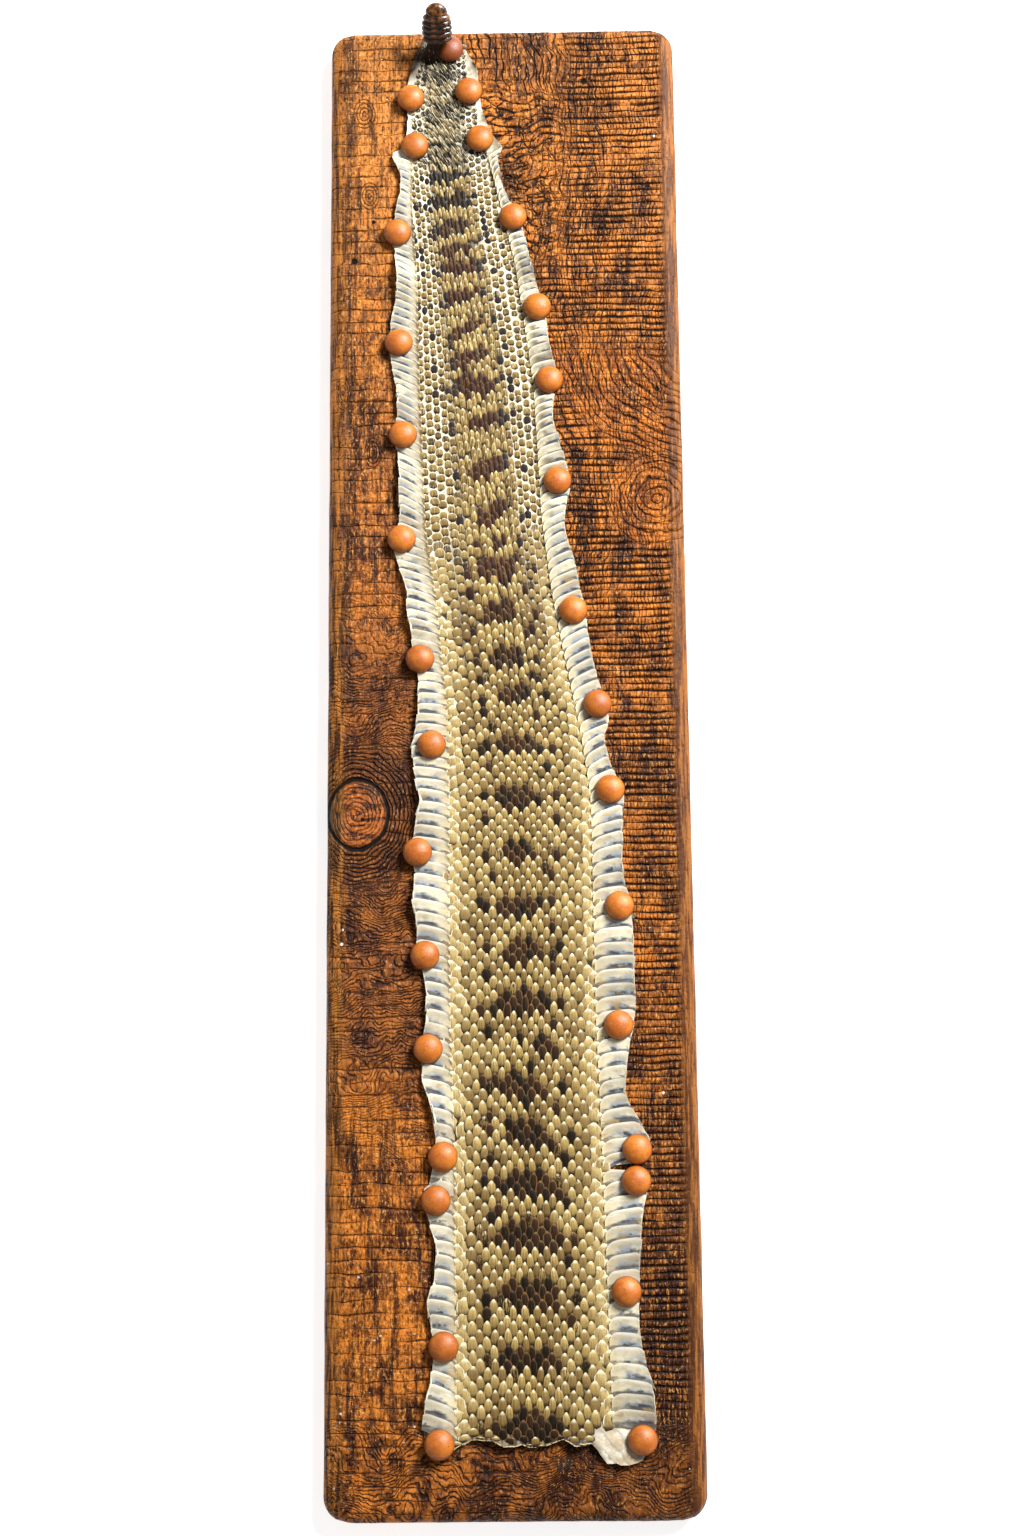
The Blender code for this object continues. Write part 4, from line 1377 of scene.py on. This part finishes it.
    # Painted shadow: a near-black line across the tail where the skin is creased.
    crease_shadow = write.times(write.hump(y, 441.5, 3.8), write.ramp(x, -59, -56), write.ramp(x, -27, -30), 0.95)
    colour = write.mix(crease_shadow, colour, paint(12, 9, 8))

    shader.inputs["Specular IOR Level"].default_value = 0.2
    height = write.add(write.times(streak, 0.7), write.times(speck, 0.3))
    finish_shader(write, shader, colour, write.ramp(speck, 0.3, 0.7, 0.46, 0.7), height, 0.25 * MM)
    return material


# %% Grow the scales
scale_leaf = make_leaf("scale_leaf", 6, 5)
scale_tree = make_scale_tree()
scale_material = make_scale_material()
SCALE_SHAPES = {
    "tail": {"Tip lift": 0.8, "Arch": 0.3, "Keel": 0.45},
    "back": {"Tip lift": 1.05, "Arch": 0.28, "Keel": 0.32},
    "flank": {"Tip lift": 0.9, "Arch": 0.36, "Keel": 0.1},
}
# Rows of scales on the tail tube, their columns on each side, and the steps between them. All of them are
# dark, partly the tail's own colour and partly painted shadow under the rattle. The last rows, next to the
# rattle, are black.
TUBE_ROWS = 9
TUBE_COLUMNS = 4
TUBE_START = 0.02
TUBE_STEP = 0.108
TUBE_TURN = 0.36
TUBE_BLACK_FROM = 6


def grow_leaves(name, records, tree, values):
    """Grows one leaf for each record, and keeps an edge sharp where a leaf turns over its rim."""
    numbers = {key: [record[key] for record in records] for key in records[0]}
    points = point_mesh(name, numbers.pop("place"), numbers)
    piece = grown_piece(name, points, tree, values)
    piece.data.shade_smooth()
    piece.data.set_sharp_from_angle(angle=math.radians(55))
    return piece


def add_tail_tube_scales(records):
    """Rows of dark scales on the tube that closes the tail, dark partly as painted shadow under the rattle.
    """
    rng = random.Random(5)
    for row in range(TUBE_ROWS):
        run = TUBE_START + row * TUBE_STEP
        for column in range(-TUBE_COLUMNS, TUBE_COLUMNS + 1):
            angle = (column + 0.5 * (row % 2)) * TUBE_TURN
            place, up, across, axis = tail_point(run, angle, 0.1 * MM)
            facing = (up * math.cos(angle) + across * math.sin(angle)).normalized()
            turn = Matrix((axis.cross(facing), axis, facing)).transposed().to_euler()
            records.append({
                "place": tuple(place), "turn": tuple(turn), "size": (2.6 * MM, 4.6 * MM, 0.75),
                "tone": rng.random(), "mark": 1.4 if row >= TUBE_BLACK_FROM else rng.uniform(0.7, 1.1),
                "belly": 0.3, "net": 0.0,
            })


groups = scale_points()
add_tail_tube_scales(groups["tail"])
scale_pieces = []
for group, records in groups.items():
    values = {"Leaf": scale_leaf, "Material": scale_material, **SCALE_SHAPES[group]}
    piece = grow_leaves(f"{group}_scales", records, scale_tree, values)
    scale_pieces.append(piece)
    print(piece.name, len(records), "scales,", triangles(piece), "triangles")
bpy.data.objects.remove(scale_leaf)

# %% [markdown]
# ## Belly scutes
#
# A snake's belly has one broad plate for each row of back scales. The slit down the belly cut every plate
# in two, so each side of the skin ends in a ladder of half plates. Each one lies over the next toward the
# tail. They aren't square: their ends slant with the row, so the tree stretches the leaf between four
# corners that each point carries.


# %% Scute tree
def make_scute_tree():
    tree, write, start = new_tree("lay_the_scutes", {
        "Leaf": "Object", "Edge height": 1.9 * MM, "Thickness": 0.3 * MM, "Wrinkle": 1.4 * MM,
        "Bead": 0.32 * MM, "Material": "Material",
    })
    size = start.outputs
    leaf = write.node("GeometryNodeObjectInfo", {"Object": size["Leaf"]}, output="Geometry")
    copies = write.node("GeometryNodeInstanceOnPoints", {"Points": size["Geometry"], "Instance": leaf})
    real = write.node("GeometryNodeRealizeInstances", {"Geometry": copies})
    across, along, under = (write.named(name) for name in ("across", "along", "under"))
    outward = write.add(write.times(across, 0.5), 0.5)
    inner_round = write.times(write.math("POWER", write.less(1.0, outward), 10.0), 0.42)
    outer_round = write.times(write.math("POWER", outward, 16.0), 0.16)
    back = write.add(along, write.times(write.less(1.0, along), write.add(inner_round, outer_round)))

    def between(share, first, second):
        return write.node("ShaderNodeMix", {0: share, 4: first, 5: second}, output=1, data_type="VECTOR")

    free_end, base_end = (
        between(outward, write.named_vector(f"{end}_inner"), write.named_vector(f"{end}_outer"))
        for end in ("free", "base"))
    flat = between(back, free_end, base_end)
    bead = write.hump(along, 0.1, 0.14)
    wrinkle = write.less(write.cloud((0.35, 1.0, 1.0), 4.5, 3, 0.6), 0.5)
    dents = write.less(write.cloud((0.6, 1.0, 1.0), 13, 1), 0.5)
    z = write.add(
        write.times(write.math("POWER", write.less(1.0, along), 1.5), size["Edge height"]),
        write.times(bead, size["Bead"]), write.times(wrinkle, size["Wrinkle"], 0.7),
        write.times(dents, size["Wrinkle"]), write.times(under, size["Thickness"], -1.0),
    )
    raised = write.node("ShaderNodeVectorMath", {0: flat, 1: write.vector(z=z)}, operation="ADD")
    placed = write.node("GeometryNodeSetPosition", {"Geometry": real, "Position": raised})
    finish_tree(write, placed, start)
    return tree


# %% Scute places
SCUTE_TOP = 428 * MM
SCUTE_FOOT = {-1: -481 * MM, 1: BARE_TOP}
SCUTE_OVERHANG = 0.4 * MM
SPLIT_HALF_GAP = 2.3 * MM


def outer_rise(y, side):
    """How much nearer the tail a scute's outer end lies than its inner end."""
    if side > 0:
        return MM * along_body(y, (440, 8), (60, 10), (-60, 7), (-150, 1), (-350, 4), (-440, -3),
                               (-480, -2))
    return MM * along_body(y, (440, 2), (300, 3), (120, 5), (20, 1), (-120, 5), (-400, 3), (-480, 9))


def inner_corner(y, side):
    """A corner beside the back scales, where the row's slant ends."""
    x = belly_line(y, side) + side * SCUTE_OVERHANG
    here = y + row_skew(y) * (x - spine_at(y))
    return Vector((x, here, skin_height(x, here)))


def outer_corner(y, row, side, rng):
    """A corner at the cut edge. Beside the split it stays clear of the gap."""
    here = y + outer_rise(y, side) + rng.gauss(0, 0.55) * MM
    x = side_edges(here)[0 if side < 0 else 1] + side * (SCUTE_OVERHANG + rng.gauss(0, 0.6) * MM)
    if side > 0 and abs(row - SPLIT_Y) < SPLIT_REACH:
        above = row > SPLIT_Y
        here = max(here, SPLIT_Y + SPLIT_HALF_GAP) if above else min(here, SPLIT_Y - SPLIT_HALF_GAP)
    return Vector((x, here, skin_height(x - side * 0.8 * MM, here)))


def scute_points():
    rng = random.Random(3)
    records = []
    for side in (-1, 1):
        for y in ROWS:
            if not SCUTE_FOOT[side] < y < SCUTE_TOP:
                continue
            record = {"place": (0, 0, 0), "left": 1.0 if side < 0 else 0.0}
            for end, reach in (("free", 0.55), ("base", -0.78)):
                at = y + reach * row_pitch(y)
                record[f"{end}_inner"] = inner_corner(at, side)
                record[f"{end}_outer"] = outer_corner(at, y, side, rng)
            record["tone"] = rng.random()
            record["smudge"] = rng.random()
            records.append(record)
    return records


# %% [markdown]
# ## The colour of the belly
#
# The belly is ivory with a white rim on each plate, made brighter as a painted highlight along the raised
# free edge. Just behind the rim it is yellower, and a blue-grey smudge lies across the outer part, as if a
# wet brush had been drawn along it.


# %% Scute material
def make_scute_material():
    material, shader, write = new_material("belly_scutes")
    across, along, tone, smudge = (write.named(name) for name in ("across", "along", "tone", "smudge"))
    _, y, _ = write.split(write.place())
    speck = write.cloud(write.place(), 1.6, 3, 0.6)
    brushed = write.cloud((0.3, 1.0, 1.0), 5, 3, 0.6)
    patch = write.cloud(write.place(), 15, 3, 0.6)
    ivory = write.mix(write.ramp(patch, 0.35, 0.65), paint(242, 232, 203), paint(212, 206, 188))
    ivory = write.mix(write.ramp(tone, 0.3, 1.0, 0.0, 0.3), ivory, paint(196, 190, 172))
    wavy = write.times(write.less(brushed, 0.5), 0.5)
    run = write.add(along, wavy)
    cream = write.times(write.hump(run, 0.26, 0.2), write.ramp(patch, 0.35, 0.6, 0.2, 0.75))
    cream = write.most(cream, write.times(write.ramp(across, -0.3, -0.9), 0.6))
    colour = write.mix(cream, ivory, paint(236, 212, 156))
    outer = write.times(write.ramp(across, -0.62, 0.0), write.ramp(across, 0.99, 0.8))
    strong = write.times(smudge, 0.3)
    wash = write.times(write.ramp(run, 0.34, 0.6), outer, write.ramp(write.add(patch, strong), 0.42, 0.66))
    colour = write.mix(write.times(wash, 0.85), colour, paint(136, 150, 166))
    faded = write.times(write.ramp(along, 0.16, 0.34), outer, write.ramp(patch, 0.42, 0.58), 0.6)
    colour = write.mix(faded, colour, paint(158, 168, 178))
    drops = write.add(write.cloud((0.7, 1.0, 1.0), 4, 3), strong)
    ink = write.times(write.hump(run, 0.58, 0.17), outer, write.ramp(drops, 0.58, 0.68))
    colour = write.mix(write.times(ink, 0.9), colour, paint(44, 48, 54))
    # The white rim on each plate's free edge is partly its own colour and partly a painted highlight.
    rim = write.most(write.ramp(write.add(along, write.times(wavy, 0.3)), 0.19, 0.05),
                     write.times(write.ramp(across, 0.93, 0.99), 0.6))
    colour = write.mix(write.times(rim, 0.9), colour, paint(253, 247, 228))
    upper_right = write.times(write.less(1.0, write.named("left")), write.ramp(y, 100, 210),
                              write.hump(across, -0.25, 0.75), write.ramp(along, 0.14, 0.3),
                              write.ramp(patch, 0.36, 0.5), 0.8)
    colour = write.mix(upper_right, colour, paint(122, 108, 78))
    inner = write.times(write.ramp(across, -0.82, -0.99), 0.6)
    colour = write.mix(inner, colour, paint(250, 238, 200))
    shadow = write.times(write.ramp(write.add(along, write.times(wavy, 0.6)), 0.54, 0.68),
                         write.ramp(brushed, 0.4, 0.58, 0.5, 0.9))
    colour = write.mix(shadow, colour, paint(86, 82, 76))
    stain = write.times(write.ramp(brushed, 0.52, 0.64), write.ramp(patch, 0.5, 0.6), 0.7)
    colour = write.mix(write.times(stain, write.ramp(along, 0.1, 0.2)), colour, paint(196, 166, 112))
    colour = write.mix(write.times(write.ramp(speck, 0.4, 0.3), 0.3), colour, paint(150, 140, 120))
    height = write.add(write.times(brushed, 0.8), write.times(speck, 0.2))
    finish_shader(write, shader, colour, write.ramp(brushed, 0.3, 0.7, 0.36, 0.56), height, 0.35 * MM)
    return material


# %% Grow the scutes
scute_leaf = make_leaf("scute_leaf", 12, 6)
scute_records = scute_points()
scutes = grow_leaves("belly_scutes", scute_records, make_scute_tree(), {
    "Leaf": scute_leaf, "Material": make_scute_material()})
bpy.data.objects.remove(scute_leaf)
print("scutes:", len(scute_records), "triangles:", triangles(scutes))

# %% [markdown]
# ## The finish of the bare sheet
#
# Where no scale covers it, the sheet is pale, almost white between the flank scales, and yellowed and brown
# where the neck was torn. Under the back scales, and beside the tail tube, it is darkened as painted shadow.


# %% Sheet material
def make_sheet_material():
    material, shader, write = new_material("dried_sheet")
    x, y, z = write.split(write.place())
    patch = write.cloud(write.place(), 12, 3, 0.6)
    speck = write.cloud(write.place(), 1.4, 3, 0.65)
    colour = write.mix(write.ramp(patch, 0.35, 0.65), paint(244, 238, 218), paint(222, 210, 182))
    toward_neck = write.ramp(y, -460, -484)
    neck_brown = write.times(toward_neck, write.ramp(patch, 0.4, 0.6), 0.6)
    colour = write.mix(neck_brown, colour, paint(188, 160, 118))
    belly = write.named("belly")
    # Painted shadow: the sheet is darkened under the back scales, least toward the tail.
    shadow_under_scales = write.times(write.ramp(belly, 0.92, 0.6), write.ramp(y, 60, 200, 0.9, 0.0))
    shadow_under_middle = write.times(write.ramp(belly, 0.62, 0.36), write.ramp(y, 425, 445, 0.85, 0.35))
    shadow_under_scales = write.most(shadow_under_scales, shadow_under_middle)
    colour = write.mix(shadow_under_scales, colour, paint(58, 44, 28))
    tail_patch = write.times(write.ramp(y, 425, 440), write.ramp(patch, 0.5, 0.62), 0.7)
    colour = write.mix(tail_patch, colour, paint(128, 116, 82))
    # Painted shadow: the sheet beside the tail tube and the tube itself are darkened under the rattle.
    shadow_left_of_tube = write.times(write.ramp(y, 488, 498), write.ramp(x, -42, -47), 0.85)
    colour = write.mix(shadow_left_of_tube, colour, paint(72, 56, 38))
    shadow_on_tube = write.times(write.ramp(z, 25.5, 27), write.ramp(y, 490, 500))
    colour = write.mix(shadow_on_tube, colour, paint(30, 13, 8))
    torn = write.times(write.ramp(y, -468, -473), write.ramp(x, 54, 50))
    scale_roots = write.cloud((1.0, 0.3, 1.0), 3.2, 2, 0.6)
    roots = write.mix(write.ramp(scale_roots, 0.46, 0.6), paint(38, 26, 16), paint(142, 122, 82))
    fringe = write.times(write.ramp(write.named("torn"), 0.84, 0.97), write.ramp(speck, 0.4, 0.55))
    roots = write.mix(fringe, roots, paint(232, 212, 168))
    colour = write.mix(torn, colour, roots)
    # Painted shade: grey lines along the folds of the flap.
    fold_run = write.add(write.times(x, 0.75), write.times(y, 0.66), write.times(patch, 9))
    on_flap = write.times(write.ramp(x, 50, 58), write.ramp(y, -470, -478))
    fold = write.times(on_flap, write.lines(fold_run, 7.5, 0.25), 0.6)
    colour = write.mix(fold, colour, paint(150, 144, 134))
    colour = write.mix(write.times(write.ramp(speck, 0.42, 0.3), 0.5), colour, paint(150, 128, 92))
    height = write.add(write.times(speck, 0.5), write.times(patch, 0.5))
    finish_shader(write, shader, colour, write.ramp(speck, 0.3, 0.7, 0.45, 0.65), height, 0.4 * MM)
    return material


# %% Make the sheet
def make_sheet():
    sheet = put_in_scene("dried_sheet", make_sheet_mesh())
    thicken = sheet.modifiers.new("thickness", "SOLIDIFY")
    thicken.thickness = SHEET_THICKNESS
    thicken.offset = -1
    graph = bpy.context.evaluated_depsgraph_get()
    mesh = bpy.data.meshes.new_from_object(sheet.evaluated_get(graph))
    sheet.modifiers.clear()
    add_tail_tube(mesh)
    mesh.materials.append(make_sheet_material())
    mesh.shade_smooth()
    mesh.set_sharp_from_angle(angle=math.radians(60))
    sheet.data = mesh
    return sheet


sheet = make_sheet()
print("sheet triangles:", triangles(sheet))

# %% [markdown]
# ## The rattle
#
# Every moult left one horn cup, and each cup grips the knob of the one before it, so they can't fall off
# but do knock together. Seen from above they make a blunt, flattened cone of rings whose lower rims bow
# down in the middle, with a groove along the middle. A turned profile would be round, so each cup is a
# loft of flattened rings, and a tree sets one on each link.

# %% Rattle shapes
RING_PITCH = 3.8 * MM
RING_RADII = [11.2, 11.5, 11.6, 11.2, 10.3]
BUTTON_RADIUS = 8.2
FLATNESS = 0.62
CUP_SIDES = 48


def make_cup(name, profile):
    """A closed cup of unit radius lofted up a profile of (radius, height in millimetres)."""
    bm = bmesh.new()
    along_layer = bm.verts.layers.float.new("along")
    rings = []
    for step, (radius, height) in enumerate(profile):
        ring = []
        for k in range(CUP_SIDES):
            angle = 2 * math.pi * k / CUP_SIDES
            front = abs(math.sin(angle))
            groove = 1 - 0.13 * math.exp(-(math.cos(angle) / 0.2) ** 2) * min(1, radius)
            lobe = 1 + 0.05 * math.exp(-((abs(math.cos(angle)) - 0.5) / 0.25) ** 2)
            bow = -1.5 * front ** 2 * max(0.0, 1 - height / 6)
            depth = radius * FLATNESS * math.sin(angle) * groove * lobe
            vert = bm.verts.new((radius * math.cos(angle), depth, height + bow))
            vert[along_layer] = step / (len(profile) - 1)
            ring.append(vert)
        rings.append(ring)
    for low, high in zip(rings, rings[1:]):
        for k in range(CUP_SIDES):
            bm.faces.new((low[k - 1], low[k], high[k], high[k - 1]))
    bm.faces.new(rings[0][::-1])
    bm.faces.new(rings[-1])
    return put_in_scene(name, mesh_of(name, bm))


CUP_PROFILE = [
    (0.30, 1.5), (0.62, 1.3), (0.80, 0.5), (0.88, 0.1), (0.95, 0.1), (0.99, 0.5), (1.0, 1.1), (0.985, 1.8),
    (0.94, 2.5), (0.87, 3.1), (0.78, 3.7), (0.66, 4.0), (0.50, 4.1), (0.44, 4.5), (0.30, 4.9),
]
# The button is the oldest cup, so its top is closed and rounded.
BUTTON_PROFILE = [
    (0.30, 1.5), (0.62, 1.3), (0.80, 0.5), (0.88, 0.1), (0.95, 0.1), (1.0, 0.6), (1.0, 1.5), (0.97, 2.6),
    (0.90, 3.9), (0.78, 5.2), (0.60, 6.5), (0.38, 7.4), (0.15, 7.8),
]
print("rattle rings:", len(RING_RADII), "and one button")


# %% Rattle tree and finish
def make_rattle_tree():
    tree, write, start = new_tree("link_the_rattle", {
        "Cup": "Object", "Button": "Object", "Pitting": 0.35 * MM, "Material": "Material"})
    size = start.outputs
    grow = write.named_vector("size")
    joined = tree.nodes.new("GeometryNodeJoinGeometry")
    for name, wanted in (("Cup", "LESS_THAN"), ("Button", "GREATER_THAN")):
        shape = write.node("GeometryNodeObjectInfo", {"Object": size[name]}, output="Geometry")
        chosen = write.math(wanted, write.named("button"), 0.5)
        copies = copies_on_points(write, size["Geometry"], shape, Selection=chosen, Scale=grow)
        tree.links.new(copies, joined.inputs[0])
    real = write.node("GeometryNodeRealizeInstances", {"Geometry": joined.outputs[0]})
    pit = write.times(write.less(write.cloud(write.place(), 3.2, 2), 0.5), size["Pitting"], 2.0)
    facing = write.node("GeometryNodeInputNormal", {})
    shift = write.node("ShaderNodeVectorMath", {0: facing, "Scale": pit}, operation="SCALE")
    worn = write.node("GeometryNodeSetPosition", {"Geometry": real, "Offset": shift})
    finish_tree(write, worn, start)
    return tree


def make_horn_material():
    material, shader, write = new_material("rattle_horn")
    along, age = write.named("along"), write.named("age")
    cloudy = write.cloud(write.place(), 4.5, 3, 0.6)
    fibre = write.cloud((2.2, 0.5, 0.5), 1.2, 2)
    young = write.mix(write.ramp(cloudy, 0.35, 0.65), paint(17, 8, 5), paint(58, 31, 15))
    old = write.mix(write.ramp(cloudy, 0.42, 0.68), paint(50, 27, 11), paint(150, 96, 36))
    colour = write.mix(write.ramp(age, 0.55, 1.0), young, old)
    # Painted shade: each cup darkens almost to black toward its base, in the joint with the cup before it.
    colour = write.mix(write.times(write.ramp(along, 0.42, 0.2), 0.85), colour, paint(9, 5, 4))
    glint = write.times(write.hump(along, 0.5, 0.1), write.ramp(cloudy, 0.4, 0.6), 0.4)
    colour = write.mix(glint, colour, paint(150, 92, 48))
    shader.inputs["Coat Weight"].default_value = 0.25
    height = write.add(write.times(fibre, 0.6), write.times(cloudy, 0.4))
    finish_shader(write, shader, colour, write.ramp(cloudy, 0.3, 0.7, 0.2, 0.38), height, 0.3 * MM)
    return material


# %% Link the rattle
def make_rattle():
    cups = {"Cup": make_cup("cup", CUP_PROFILE), "Button": make_cup("button", BUTTON_PROFILE)}
    radii = RING_RADII + [BUTTON_RADIUS]
    upright = Vector((1, 0, 0)).cross(-RATTLE_AXIS)
    straight = Matrix((Vector((1, 0, 0)), upright, RATTLE_AXIS)).transposed()
    rng = random.Random(2)
    places, turns, sizes = [], [], []
    for n, radius in enumerate(radii):
        wobble = Euler((rng.gauss(0, 0.02), rng.gauss(0, 0.02), rng.gauss(0, 0.03))).to_matrix()
        places.append(tuple(RATTLE_BASE + RATTLE_AXIS * RING_PITCH * n))
        turns.append(tuple((straight @ wobble).to_euler()))
        sizes.append((radius * MM, radius * MM, MM))
    points = point_mesh("rattle_links", places, {
        "turn": turns, "size": sizes, "button": [0.0] * len(RING_RADII) + [1.0],
        "age": [n / len(RING_RADII) for n in range(len(radii))],
    })
    values = {**cups, "Material": make_horn_material()}
    rattle = grown_piece("horn_rattle", points, make_rattle_tree(), values)
    rattle.data.shade_smooth()
    rattle.data.set_sharp_from_angle(angle=math.radians(50))
    for cup in cups.values():
        bpy.data.objects.remove(cup)
    return rattle


rattle = make_rattle()
print("rattle triangles:", triangles(rattle))

# %% [markdown]
# ## Tie the pieces to the frame
#
# Nothing moves, so every piece rides on the one body. Each piece says which parts of the imported model it
# stands for and which finish it takes.

# %% Ride and replace
RATTLE_NAMES = sorted(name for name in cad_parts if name.startswith("rattle_"))
PIECES = [
    (board, "stained_board", ["board"]),
    (tacks, "tack_wood", TACK_NAMES),
    (rattle, "rattle_horn", RATTLE_NAMES),
    (sheet, "dried_snake_skin", ["snake_skin"]),
    (scutes, "dried_snake_skin", []),
] + [(piece, "dried_snake_skin", []) for piece in scale_pieces]

for piece, slot, stands_for in PIECES:
    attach(piece, BODY)
    if stands_for:
        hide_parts(*stands_for)

# %% [markdown]
# ## Floor and light
#
# A pale floor and one large soft light from the upper right, low enough for the edges and tacks to throw
# short shadows to the lower left. An even world fills the shadows. The floor glows a little, so that it
# stays white round the board.

# %% Stage
# Metres and watts.
FLOOR_REACH = 4.0
FLOOR_GLOW = 0.75
KEY_PLACE = (1.5, 1.5, 1.9)
KEY_POWER = 155
KEY_SIZE = 0.9
WORLD_STRENGTH = 0.215


def make_floor():
    mesh = bpy.data.meshes.new("floor")
    corners = [(x * FLOOR_REACH, y * FLOOR_REACH, 0) for x, y in ((-1, -1), (1, -1), (1, 1), (-1, 1))]
    mesh.from_pydata(corners, [], [(0, 1, 2, 3)])
    material, shader, _ = new_material("floor")
    shader.inputs["Base Color"].default_value = paint(250, 250, 250)
    shader.inputs["Roughness"].default_value = 0.9
    shader.inputs["Emission Color"].default_value = paint(255, 255, 255)
    shader.inputs["Emission Strength"].default_value = FLOOR_GLOW
    mesh.materials.append(material)
    floor = put_in_scene("floor", mesh)


def add_key_light():
    """One large soft lamp, aimed at the middle of the board."""
    lamp = bpy.data.lights.new("key", "AREA")
    lamp.energy = KEY_POWER
    lamp.size = KEY_SIZE
    light = put_in_scene("key", lamp)
    light.location = KEY_PLACE
    light.rotation_euler = (-Vector(KEY_PLACE)).to_track_quat("-Z", "Y").to_euler()


def light_the_world(strength):
    world = bpy.data.worlds.new("studio")
    world.use_nodes = True
    background = world.node_tree.nodes["Background"]
    background.inputs["Color"].default_value = (1, 1, 1, 1)
    background.inputs["Strength"].default_value = strength
    bpy.context.scene.world = world


make_floor()
add_key_light()
light_the_world(WORLD_STRENGTH)
print("key light at", KEY_PLACE, "with", KEY_POWER, "watts")
bpy.context.scene.view_settings.view_transform = "Standard"
